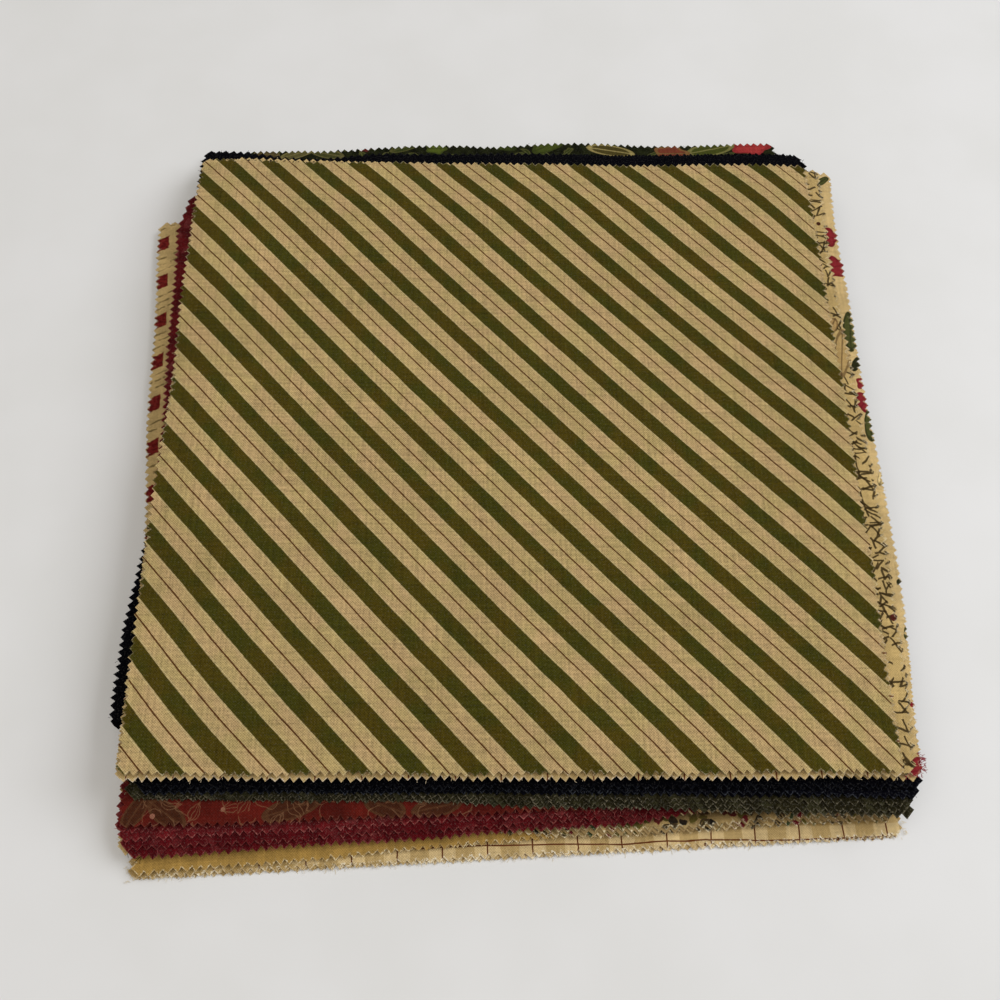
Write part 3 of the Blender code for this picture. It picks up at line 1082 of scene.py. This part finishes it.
VINE_CHART = (
    (121.5, 47, 9, 5, 60, 2, (162, 132, 84), (60, 38, 20)),
    (124.0, 35, 20, 7, 80, 2, (166, 138, 88), (60, 38, 20)),
    (124.1, 98, 1.6, 1.6, 0, 0, (64, 34, 22), (64, 34, 22)),
    (127.0, -4, 1.8, 1.8, 0, 0, (64, 34, 22), (64, 34, 22)),
    (125.4, -73, 2.2, 2.2, 0, 0, (74, 26, 22), (64, 34, 22)),
)
CREAM_CHART = (
    (122.0, 93, 10, 9, 0, 5, RED, DEEP_RED),
    (122.5, 78, 12, 10, 20, 5, RED, DEEP_RED),
    (125.0, 47, 17, 7, 84, 2, LEAF, DARK_LEAF),
    (125.5, 32, 7, 4, 60, 2, DARK_LEAF, DARK_LEAF),
    (126.5, 23, 5, 6, 0, 5, RED, DEEP_RED),
    (126.0, 15, 9, 8, 50, 5, RED, DEEP_RED),
    (126.5, 5, 13, 6, 80, 2, LEAF, DARK_LEAF),
    (127.0, -16, 9, 3, 70, 2, (208, 182, 126), DARK_LEAF),
    (127.8, -58, 5, 4, 30, 2, DARK_LEAF, DARK_LEAF),
    (127.8, -76, 8, 4, 70, 2, LEAF, DARK_LEAF),
    (126.0, -103, 1.6, 1.6, 0, 0, RED, RED),
    (125.0, -125, 11, 8, 10, 5, RED, DEEP_RED),
    (122.5, 122.5, 8, 4, 40, 2, LEAF, DARK_LEAF),
)


def vine_print(tree, place):
    colour = plain_print(176, 150, 98, spread_share=0.05, size=12 * MM)(tree, place)
    for size, seed in ((9 * MM, 0.3), (6.5 * MM, 4.1), (5 * MM, 8.7)):
        twigs = use(tree, TWIGS, place=place, size=size, width=0.75 * MM, share=0.65, seed=seed)
        colour = blend(tree, calculate(tree, "MULTIPLY", twigs["Stroke"], 0.92), colour, seen(*TWIG))
    return charted(tree, place, colour, VINE_CHART)


def cream_flower_print(tree, place):
    colour = plain_print(190, 163, 112, spread_share=0.05, size=12 * MM)(tree, place)
    return charted(tree, place, colour, CREAM_CHART)


print("motifs on the right:", len(VINE_CHART), "and", len(CREAM_CHART))

# %% [markdown]
# At the back a dark green cotton stands out from under the rest. Its chart follows the back edge
# from right to left, and strewn leaves in two dark greens fill the ground.

# %% The dark flowered cotton at the back
DARK_CHART = (
    (116, 125, 17, 10, 0, 5, (150, 50, 48), (116, 34, 36)),
    (98, 124, 20, 9, 12, 2, (62, 66, 24), (126, 120, 70)),
    (80, 122, 15, 10, 0, 5, (104, 52, 36), (112, 90, 50)),
    (53, 123, 19, 7, -8, 2, (66, 58, 26), (160, 144, 90)),
    (26, 126, 15, 8, 25, 2, (62, 70, 26), (44, 50, 20)),
    (5, 127, 12, 5, -20, 2, (50, 58, 22), (36, 42, 18)),
    (-24, 125, 9, 6, 0, 5, (72, 82, 28), (48, 54, 22)),
    (-38, 126, 12, 5, 15, 2, (52, 58, 26), (84, 80, 42)),
    (-55, 127, 5, 4, 0, 5, (90, 34, 32), (50, 24, 20)),
    (-72, 125, 14, 6, -15, 2, (62, 62, 32), (104, 96, 58)),
    (-86, 125, 15, 6, 20, 2, (84, 78, 44), (118, 108, 66)),
    (-100, 125, 11, 6, -10, 2, (74, 62, 38), (104, 92, 56)),
)


def dark_flower_print(tree, place):
    colour = plain_print(24, 26, 12, spread_share=0.35, size=4 * MM)(tree, place)
    leaves = use(tree, SPRIGS, place=place, size=8 * MM, width=0.5 * MM, share=0.6, seed=2.2)
    colour = blend(tree, leaves["Fill"], colour, seen(46, 52, 22))
    colour = blend(tree, calculate(tree, "MULTIPLY", leaves["Stroke"], 0.5), colour, seen(92, 90, 50))
    return charted(tree, place, colour, DARK_CHART)


print("motifs at the back:", len(DARK_CHART))

# %% [markdown]
# The red-brown cotton at the front left carries brown leaves and fine lines. The leaves and dots
# are charted, and the lines are the outlines and half rings of strewn leaves in two sizes.

# %% The red-brown cotton with curling leaves
LEAF_BROWN = (62, 32, 19)
VEIN_BROWN = (84, 54, 34)
DOT_PINK = (134, 88, 70)
SWIRL_CHART = (
    (-121.7, -122.1, 12, 7, 60, 2, LEAF_BROWN, VEIN_BROWN),
    (-111.6, -123.0, 13, 8, -35, 2, LEAF_BROWN, VEIN_BROWN),
    (-116.0, -123.5, 1.5, 1.5, 0, 0, DOT_PINK, DOT_PINK),
    (-94.2, -121.7, 1.3, 1.3, 0, 0, DOT_PINK, DOT_PINK),
    (-81.1, -124.5, 1.5, 1.5, 0, 0, DOT_PINK, DOT_PINK),
    (-72.7, -122.3, 17, 8, 14, 2, LEAF_BROWN, VEIN_BROWN),
    (-42.6, -122.9, 13, 8, -20, 2, LEAF_BROWN, VEIN_BROWN),
    (-25.6, -123.6, 15, 7, 10, 2, LEAF_BROWN, VEIN_BROWN),
)


def swirl_print(tree, place):
    colour = plain_print(78, 22, 16, spread_share=0.15, size=9 * MM)(tree, place)
    colour = charted(tree, place, colour, SWIRL_CHART)
    for size, seed in ((13 * MM, 0.6), (8 * MM, 3.3)):
        leaves = use(tree, SPRIGS, place=place, size=size, width=0.32 * MM, share=0.5, seed=seed)
        lines = calculate(tree, "MAXIMUM", leaves["Stroke"], leaves["Curl"])
        colour = blend(tree, calculate(tree, "MULTIPLY", lines, 0.45), colour, seen(122, 88, 62))
    return colour


# %% [markdown]
# On the left a cream cotton shows with small red blocks in rows. Between two blocks lie short
# green strokes, all at one slant. Ping-pong steps repeat a block without any loop of nodes.

# %% Red blocks and green strokes
BLOCK_MIDDLE = (-124.3 * MM, 1.2 * MM)     # of the first block
BLOCK_LEAN = -0.45                         # fall of a row for each step to the right
LEAN_FROM = -124.7 * MM                    # where the rows have not fallen yet
BLOCK_SPACING = 19.1 * MM
BLOCK_WIDE = 4.6 * MM
BLOCK_HIGH = 6.4 * MM
STROKE_SPACING = 3.1 * MM
BLOCK_RED = seen(112, 34, 30)
BLOCK_SHADE = seen(84, 18, 18)
STROKE_GREEN = seen(78, 66, 34)


def ragged_place(tree, place, size, amount):
    """The place, moved a little by noise that differs along x and y."""
    moves = [jitter(tree, vector_step(tree, "ADD", place, (step, 0, 0)), size, amount)
             for step in (0.1, 0.7)]
    return vector_step(tree, "ADD", place, joined(tree, *moves))


def red_block_print(tree, place):
    colour = plain_print(180, 154, 104, spread_share=0.06)(tree, place)
    x, y = parts_of(tree, ragged_place(tree, place, 1.6 * MM, 1.3 * MM))
    from_start = calculate(tree, "SUBTRACT", x, LEAN_FROM)
    lean = calculate(tree, "MULTIPLY_ADD", from_start, BLOCK_LEAN, y)
    block = 1.0
    for part, middle, size in ((x, BLOCK_MIDDLE[0], BLOCK_WIDE), (lean, BLOCK_MIDDLE[1], BLOCK_HIGH)):
        shifted_part = calculate(tree, "SUBTRACT", part, middle)
        away = calculate(tree, "PINGPONG", shifted_part, BLOCK_SPACING / 2)
        inside = fade(tree, away, size / 2 + 0.25 * MM, size / 2 - 0.25 * MM)
        block = calculate(tree, "MULTIPLY", block, inside)
    from_stroke = calculate(tree, "PINGPONG", lean, STROKE_SPACING / 2)
    strokes = fade(tree, from_stroke, 0.55 * MM, 0.25 * MM)
    between = fade(tree, away, BLOCK_SPACING * 0.28, BLOCK_SPACING * 0.32)
    patchy = fade(tree, noise(tree, place, 3 * MM), 0.42, 0.55)
    strokes = calculate(tree, "MULTIPLY", strokes, calculate(tree, "MULTIPLY", between, patchy))
    colour = blend(tree, calculate(tree, "MULTIPLY", strokes, 0.75), colour, STROKE_GREEN)
    mottle = fade(tree, noise(tree, place, 1.5 * MM), 0.35, 0.65)
    return blend(tree, block, colour, blend(tree, mottle, BLOCK_SHADE, BLOCK_RED))


print("blocks:", round(SIDE / BLOCK_SPACING), "in a row")

# %% [markdown]
# The cream cotton low in the fan is busy with small marks in black, green, olive and red. Here a
# Voronoi texture's own random colours decide what each small cell holds. Away from its front edge
# the print is painted darker: painted shade, for the shadow of the green squares that overhang it.

# %% Small mixed marks, specks and tonal flowers
MARK_SIZE = 3.2 * MM
PAINTED_SHADE_BAND = (-126 * MM, -122 * MM)         # painted shade: the print darkens between these, from the front
MIXED_MARKS = (                            # from, to: random number of the cells, and their colour
    (0.00, 0.18, (24, 22, 18)),
    (0.18, 0.42, (84, 76, 32)),
    (0.42, 0.58, (92, 26, 30)),
    (0.58, 0.66, (48, 60, 34)),
)


def mixed_print(tree, place):
    """Cream with small coloured marks of many kinds, and painted shade away from the front edge."""
    # the ground is darker than the cream cloth: its own colour, with painted shade from the green
    # squares above
    colour = plain_print(148, 124, 80, spread_share=0.14)(tree, place)
    cells = tree.nodes.new("ShaderNodeTexVoronoi")
    cells.voronoi_dimensions = "2D"
    cells.inputs["Scale"].default_value = 1 / MARK_SIZE
    ragged = ragged_place(tree, place, 2 * MM, 2.5 * MM)
    tree.links.new(ragged, cells.inputs["Vector"])
    random = tree.nodes.new("ShaderNodeSeparateColor")
    tree.links.new(cells.outputs["Color"], random.inputs[0])
    near = fade(tree, cells.outputs["Distance"], 0.5, 0.4)
    for start, end, mark in MIXED_MARKS:
        above = calculate(tree, "GREATER_THAN", random.outputs[0], start)
        below = calculate(tree, "LESS_THAN", random.outputs[0], end)
        mask = calculate(tree, "MULTIPLY", calculate(tree, "MULTIPLY", above, below), near)
        colour = blend(tree, mask, colour, seen(*mark))
    leaves = use(tree, SPRIGS, place=place, size=6 * MM, width=0.7 * MM, share=0.55, seed=1.4)
    colour = blend(tree, leaves["Stroke"], colour, seen(60, 48, 30))
    _, y = parts_of(tree, ragged)
    # painted shade: darkened away from the front edge, where the green squares above overhang
    painted_shade = fade(tree, y, *PAINTED_SHADE_BAND, 0.0, 0.75)
    return blend(tree, painted_shade, colour, seen(48, 32, 18))


def speck_print(ground, speck, size=3 * MM, share=0.62):
    """A plain ground with small specks where noise is above a share."""
    def colour_at(tree, place):
        colour = plain_print(*ground, spread_share=0.2)(tree, place)
        specks = fade(tree, noise(tree, place, size / 4, detail=2), share, share + 0.06)
        return blend(tree, specks, colour, seen(*speck))
    return colour_at


def tonal_print(ground, bloom, size, seed):
    """Flowers in a slightly lighter tone of the ground."""
    def colour_at(tree, place):
        colour = plain_print(*ground, spread_share=0.15)(tree, place)
        leaves = use(tree, SPRIGS, place=place, size=size, width=0.6 * MM, share=0.6, seed=seed)
        colour = blend(tree, calculate(tree, "MULTIPLY", leaves["Fill"], 0.5), colour, seen(*bloom))
        return blend(tree, calculate(tree, "MULTIPLY", leaves["Stroke"], 0.4), colour, seen(*bloom))
    return colour_at


print("mixed marks:", len(MIXED_MARKS), "colours")

# %% [markdown]
# Some squares lie fully under their fellows, and show no more than the line of their cut. A print
# would be lost on them, so they have one plain colour, with the weave in roughness and relief.

# %% Plain cotton for the covered squares
COVERED = {                                # name of the square, and its colour
    "stripe_2": (158, 134, 92),
    "windowpane_2": (172, 148, 100),
    "vine_3": (172, 146, 96),
    "cream_flower_2": (186, 160, 110),
    "cream_flower_3": (186, 160, 110),
    "black_3": (6, 6, 9),
    "black_low_2": (6, 6, 9),
    "black_low_3": (6, 6, 9),
    "navy_3": (9, 9, 15),
    "swirl_2": (82, 30, 22),
    "swirl_3": (82, 30, 22),
    "dark_flower_2": (38, 40, 22),
    "red_block_2": (176, 150, 102),
    # as dark as the mixed ground, which holds painted shade from the green squares above
    "mixed_2": (144, 120, 80),
}


def plain_cotton(name, colour):
    """A cotton of one colour, set on the shader itself."""
    material = bpy.data.materials.new(name)
    material.use_nodes = True
    tree = material.node_tree
    shader = tree.nodes["Principled BSDF"]
    weave = use(tree, WEAVE, place=place_on_cloth(tree))
    shader.inputs["Base Color"].default_value = seen(*colour)
    finish_cloth(tree, shader, weave)
    return material


for square in squares:
    if square["name"] in COVERED:
        material = plain_cotton(f"cotton_{square['name']}", COVERED[square["name"]])
        square["sheet"].data.materials.append(material)
print("covered squares:", len(COVERED))

# %% [markdown]
# Each kind now gets its cotton. The cut threads of a light cotton are nearly white. On a dark one
# they are dull, and lint from the shears clings to the cloth, so that share is set apart.

# %% Give each kind its material
PALE_CUT = seen(216, 200, 164)
GREY_CUT = seen(86, 90, 98)
DEEP = dict(contrast=0.3, sheen=0.0, lint=0.05)

COTTONS = {
    "stripe": (stripe_print, PALE_CUT, dict(cut_width=0.3 * MM, cut_share=0.35, contrast=0.42,
                                            lint=0.07)),
    "windowpane": (pane_print((172, 148, 100), (170, 144, 96), (-4.3 * MM, 4 * MM, 0), 0),
                   seen(208, 192, 170), dict(cut_width=0.4 * MM, cut_share=0.8)),
    "vine": (vine_print, PALE_CUT, dict(cut_share=0.6)),
    "cream_flower": (cream_flower_print, PALE_CUT, dict(cut_share=0.6)),
    "black": (plain_print(4, 4, 8), GREY_CUT, dict(DEEP, cut_share=0.12)),
    "black_low": (plain_print(5, 5, 9), GREY_CUT, dict(DEEP, cut_share=0.12)),
    "navy": (speck_print((6, 6, 12), (40, 42, 50)), GREY_CUT, dict(DEEP, cut_share=0.32)),
    "green": (tonal_print((30, 27, 13), (48, 46, 28), 6 * MM, 5.2), seen(120, 112, 92),
              dict(contrast=0.5, lint=0.12, cut_share=0.6)),
    "swirl": (swirl_print, seen(130, 86, 72), dict(cut_share=0.4, contrast=0.3)),
    "burgundy": (tonal_print((84, 19, 22), (112, 48, 48), 7 * MM, 7.7), seen(168, 106, 98),
                 dict(cut_share=0.55, contrast=0.45, lint=0.1)),
    "wine": (tonal_print((70, 11, 15), (90, 30, 31), 7 * MM, 9.1), seen(148, 86, 78),
             dict(cut_share=0.5, contrast=0.45, lint=0.08)),
    "dark_flower": (dark_flower_print, seen(96, 94, 62), dict(DEEP, cut_share=0.35)),
    "red_block": (red_block_print, PALE_CUT, dict(cut_share=0.6)),
    "mixed": (mixed_print, PALE_CUT, dict(cut_width=0.5 * MM, cut_share=0.85)),
    "gold": (plain_print(152, 120, 62, spread_share=0.06), PALE_CUT, dict(cut_share=0.8)),
    "check": (pane_print((192, 167, 120), (158, 131, 81), (-8.7 * MM, -122.9 * MM, 0), 1.7),
              seen(226, 214, 188), dict(cut_width=0.6 * MM, cut_share=0.9)),
}

for kind, (print_colour, cut_colour, finish) in COTTONS.items():
    material = cotton(f"cotton_{kind}_print", print_colour, cut_colour, **finish)
    for square in squares:
        if square["kind"] == kind and square["name"] not in COVERED:
            square["sheet"].data.materials.append(material)
print("cottons:", len(COTTONS))

# %% [markdown]
# ## Loose threads
# A cut through a plain weave frays. Short ends of yarn stand off the teeth, and where a square has
# been handled they are long. Each is modelled as a thin closed tube: a small square, extruded from
# point to point. All the threads of one kind of square make one piece, in one pale colour.

# %% A thread, and the plain material for threads
THREAD_WIDTH = 0.12 * MM
TUFT_WIDTH = 1.3 * THREAD_WIDTH            # in a tuft, ends cling together in twos
one_thread = bpy.data.meshes.new("one thread")


def add_thread(bm, points, width):
    """Adds a closed tube of four sides through the points. It is quickest in a mesh of its own."""
    small = bmesh.new()
    heading = (points[1] - points[0]).to_track_quat("Z", "Y").to_matrix().to_4x4()
    ring = bmesh.ops.create_circle(small, cap_ends=True, segments=4, radius=width / 2,
                                   matrix=Matrix.Translation(points[0]) @ heading)
    end = [ring["verts"][0].link_faces[0]]
    keep = True
    for before, after in zip(points, points[1:]):
        raised = bmesh.ops.extrude_face_region(small, geom=end, use_keep_orig=keep)["geom"]
        keep = False
        end = [item for item in raised if isinstance(item, bmesh.types.BMFace)]
        bmesh.ops.translate(small, vec=after - before, verts=end[0].verts[:])
    small.to_mesh(one_thread)
    small.free()
    bm.from_mesh(one_thread)


def thread_cotton(name, colour):
    """The material of loose threads, with the weave read from the place in the scene."""
    material = bpy.data.materials.new(name)
    material.use_nodes = True
    tree = material.node_tree
    shader = tree.nodes["Principled BSDF"]
    shader.inputs["Base Color"].default_value = seen(*colour)
    source = tree.nodes.new("ShaderNodeTexCoord")
    weave = use(tree, WEAVE, place=source.outputs["Object"])
    finish_cloth(tree, shader, weave)
    return material


# %% [markdown]
# The first table gives each kind's share of teeth with a loose end, the longest such end, and the
# colour of its threads. The second adds tufts: where a corner or a stretch has frayed more. There
# turn is the way the threads point, in degrees from the right, and fan is how far they differ.

# %% Where threads stand off
FRINGE_COLUMNS = ("kind", "share", "longest", "colour")
FRINGES = (
    ("stripe",       0.5, 0.9, (196, 176, 134)),
    ("windowpane",   0.7, 1.0, (206, 188, 156)),
    ("vine",         0.5, 1.0, (200, 178, 132)),
    ("cream_flower", 0.5, 1.1, (206, 184, 140)),
    ("black",        0.3, 1.0, (58, 60, 66)),
    ("black_low",    0.5, 1.2, (40, 40, 44)),
    ("navy",         0.4, 1.1, (66, 68, 76)),
    ("green",        0.6, 1.0, (122, 118, 96)),
    ("swirl",        0.6, 1.0, (134, 88, 78)),
    ("burgundy",     0.8, 1.2, (158, 84, 84)),
    ("wine",         0.7, 1.1, (142, 72, 70)),
    ("dark_flower",  0.5, 1.2, (84, 82, 54)),
    ("red_block",    0.6, 1.2, (190, 166, 124)),
    ("mixed",        0.7, 1.1, (204, 184, 142)),
    ("gold",         0.7, 1.0, (204, 178, 122)),
    ("check",        1.0, 1.6, (222, 208, 178)),
)

TUFT_COLUMNS = ("piece", "square", "x", "y", "reach_x", "reach_y", "count", "shortest", "longest",
                "turn", "fan", "colour")
TUFTS = (
    ("tuft_red",    "cream_flower_1", 124, -124,  3,  3, 120, 0.4, 1.0,  -60,  80, (140, 42, 54)),
    ("tuft_red",    "cream_flower_1", 126, -122,  2,  3, 90, 0.5, 1.5,  -10,  60, (140, 42, 54)),
    ("tuft_right",  "check_1",        126, -124,  2,  3, 30, 0.4, 1.5,  -20,  60, (222, 208, 178)),
    ("tuft_left",   "check_2",       -126, -125,  2,  3, 24, 0.4, 1.4, -150,  60, (222, 208, 178)),
    ("tuft_dark",   "red_block_1",   -123, -122, 0.3, 0.3, 3, 5.0, 5.6,  -98,   4, (28, 22, 16)),
    ("tuft_dark",   "red_block_1",   -118, -127, 0.3, 0.3, 3, 3.0, 3.6, -145,   6, (28, 22, 16)),
    ("tuft_back",   "black_low_1",    124,  122,  4,  2, 40, 0.6, 1.8,   60,  60, (14, 14, 16)),
)

# %% [markdown]
# A thread starts at a place on its own square, so it needs the same journey as the sheet's points:
# pulled, turned, and lifted onto the height map. It bends a little sideways and sinks at its end.

# %% Make the threads
BEND = 0.25                                # radians from one stretch of a thread to the next
SINK = 0.12                                # fall of a thread for each step ahead
LONG = 2 * MM                              # a thread above this length has three stretches
SPREAD = 0.6                               # radians by which threads differ from straight out
TEETH_SHARE = 0.6                          # lowers all the shares of the first table together
SIDES = ((0, -1), (1, 0), (0, 1), (-1, 0))  # front, right, back, left


def on_pile(square, u, v):
    """The point of the bundle where a place on the flat cloth has come to lie."""
    along, back = axes_of(square)
    u, v = pulled(square["name"], u, v)
    place = Vector((square["x"], square["y"])) * MM + along * u
    place += back * (v * square["deep"] * MM / SIDE)
    height = height_on(square["bottom"], place.x, place.y) + THICK / 2
    return Vector((place.x + TOP_MIDDLE.x, place.y + TOP_MIDDLE.y, height))


def lay_thread(bm, square, u, v, angle, length, chance, width=THREAD_WIDTH):
    """Adds a thread that starts at a place on a square and heads off at an angle."""
    angle += math.radians(square["turn"])
    points = [on_pile(square, u, v)]
    sideways = chance.normal(0, BEND)
    steps = 3 if length > LONG else 2
    for _ in range(steps):
        ahead = Vector((math.cos(angle), math.sin(angle), -SINK)) * length / steps
        points.append(points[-1] + ahead)
        angle += sideways
    for point in points:
        point.z = max(point.z, width)
    add_thread(bm, points, width)


def thread_piece(name, bm, square, material):
    """Turns a mesh of threads into a piece, and notes it with the square that it belongs to."""
    bmesh.ops.recalc_face_normals(bm, faces=bm.faces[:])
    mesh = bpy.data.meshes.new(name)
    bm.to_mesh(mesh)
    bm.free()
    mesh.materials.append(material)
    piece = bpy.data.objects.new(name, mesh)
    scene.collection.objects.link(piece)
    square.setdefault("threads", []).append(piece)


def fray_side(bm, square, outward, fringe, chance):
    """Lays threads at some teeth of the side that faces outward, chosen by chance."""
    out_x, out_y = outward
    for tooth in range(TEETH):
        if chance.random() > fringe["share"] * TEETH_SHARE:
            continue
        place = (tooth + 0.5 - TEETH / 2 + chance.uniform(-0.45, 0.45)) * PITCH
        depth = ROOT_SIDE / 2 + TOOTH_DEPTH * (1 - 2 * abs((place / PITCH) % 1 - 0.5))
        u = out_x * depth + abs(out_y) * place
        v = out_y * depth + abs(out_x) * place
        angle = math.atan2(out_y, out_x) + chance.normal(0, SPREAD)
        length = chance.uniform(0.35, 1.0) * fringe["longest"] * MM
        lay_thread(bm, square, u, v, angle, length, chance)


for row in FRINGES:
    fringe = dict(zip(FRINGE_COLUMNS, row))
    kind = fringe["kind"]
    alike = [square for square in squares if square["kind"] == kind]
    bm = bmesh.new()
    chance = np.random.default_rng(len(kind))
    for square in alike:
        for outward in SIDES:
            fray_side(bm, square, outward, fringe, chance)
    thread_piece(f"threads_{kind}", bm, alike[0], thread_cotton(f"thread_{kind}", fringe["colour"]))

by_name = {square["name"]: square for square in squares}
for name in dict.fromkeys(row[0] for row in TUFTS):
    tufts = [dict(zip(TUFT_COLUMNS, row)) for row in TUFTS if row[0] == name]
    bm = bmesh.new()
    chance = np.random.default_rng(len(name))
    for tuft in tufts:
        square = by_name[tuft["square"]]
        for _ in range(tuft["count"]):
            u = (tuft["x"] + chance.uniform(-1, 1) * tuft["reach_x"]) * MM
            v = (tuft["y"] + chance.uniform(-1, 1) * tuft["reach_y"]) * MM
            angle = math.radians(tuft["turn"] + chance.uniform(-1, 1) * tuft["fan"])
            length = chance.uniform(tuft["shortest"], tuft["longest"]) * MM
            lay_thread(bm, square, u, v, angle, length, chance, TUFT_WIDTH)
    thread_piece(name, bm, square, thread_cotton(f"{name}_cotton", tufts[0]["colour"]))

bpy.data.meshes.remove(one_thread)
pieces = [piece for square in squares for piece in square.get("threads", [])]
print("thread pieces:", len(pieces), "with", sum(len(piece.data.polygons) for piece in pieces), "faces")

# %% [markdown]
# ## The floor and the light
# The bundle lies on a pale table. It is only there to show the bundle, so it is a plain wide
# grid.

# %% A pale floor
FLOOR_SIZE = 3.0
FLOOR_DROP = 0.02 * MM                     # keeps the floor clear of the lowest sheet
FLOOR_ROUGHNESS = 0.55
FLOOR_CLOUD = 60 * MM
FLOOR_GREY = seen(216, 215, 213)
FLOOR_PALE = seen(220, 219, 218)


def pale_floor():
    """A wide flat table top with a very faint cloudy grey."""
    bm = bmesh.new()
    bmesh.ops.create_grid(bm, x_segments=1, y_segments=1, size=FLOOR_SIZE / 2)
    mesh = bpy.data.meshes.new("floor")
    bm.to_mesh(mesh)
    bm.free()
    floor = bpy.data.objects.new("floor", mesh)
    floor.location.z = -FLOOR_DROP
    scene.collection.objects.link(floor)
    material = bpy.data.materials.new("pale_table")
    material.use_nodes = True
    tree = material.node_tree
    shader = tree.nodes["Principled BSDF"]
    source = tree.nodes.new("ShaderNodeTexCoord")
    cloud = fade(tree, noise(tree, source.outputs["Object"], FLOOR_CLOUD, detail=3), 0.3, 0.7)
    colour = blend(tree, cloud, FLOOR_GREY, FLOOR_PALE)
    tree.links.new(colour, shader.inputs["Base Color"])
    shader.inputs["Roughness"].default_value = FLOOR_ROUGHNESS
    mesh.materials.append(material)
    return floor


floor = pale_floor()
print("floor:", FLOOR_SIZE, "m wide")

# %% [markdown]
# Soft daylight comes from the right and the back. A big soft lamp stands for the window, a second,
# weaker one for the room, and the world fills the shadows.

# %% Soft lights
LAMP_COLUMNS = ("name", "place", "size", "watts", "colour")
LAMPS = (
    ("window", (1.7, 0.35, 1.55), 1.5, 38, (0.905, 0.945, 1.0)),
    ("ceiling", (-0.5, -0.2, 2.0), 2.0, 13.5, (1.0, 0.96, 0.9)),
)
WORLD_LIGHT = 0.41
WORLD_COLOUR = (1.0, 0.97, 0.92, 1)

for row in LAMPS:
    lamp = dict(zip(LAMP_COLUMNS, row))
    data = bpy.data.lights.new(lamp["name"], "AREA")
    data.shape = "SQUARE"
    data.size = lamp["size"]
    data.energy = lamp["watts"]
    data.color = lamp["colour"]
    light = bpy.data.objects.new(lamp["name"], data)
    light.location = lamp["place"]
    light.rotation_euler = (-Vector(lamp["place"])).to_track_quat("-Z", "Y").to_euler()
    scene.collection.objects.link(light)

world = bpy.data.worlds.new("room light")
world.use_nodes = True
background = world.node_tree.nodes["Background"]
background.inputs["Color"].default_value = WORLD_COLOUR
background.inputs["Strength"].default_value = WORLD_LIGHT
scene.world = world
print(len(LAMPS), "lamps and the world's own light")

# %% [markdown]
# ## Hang each piece on the bundle's body
# Every sheet, cut to ten inches and laid down, rides with its threads on the one body that the
# bundle has, and stands for the slab of its kind, which is hidden.

for number, square in enumerate(squares):
    sheet = square["sheet"]
    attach(sheet, "root")
    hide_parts(f"square_{square['kind']}")
    threads = square.get("threads", [])
    for piece in threads:
        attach(piece, "root")
        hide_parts(f"square_{square['kind']}")
print("declared:", len(squares), "sheets")
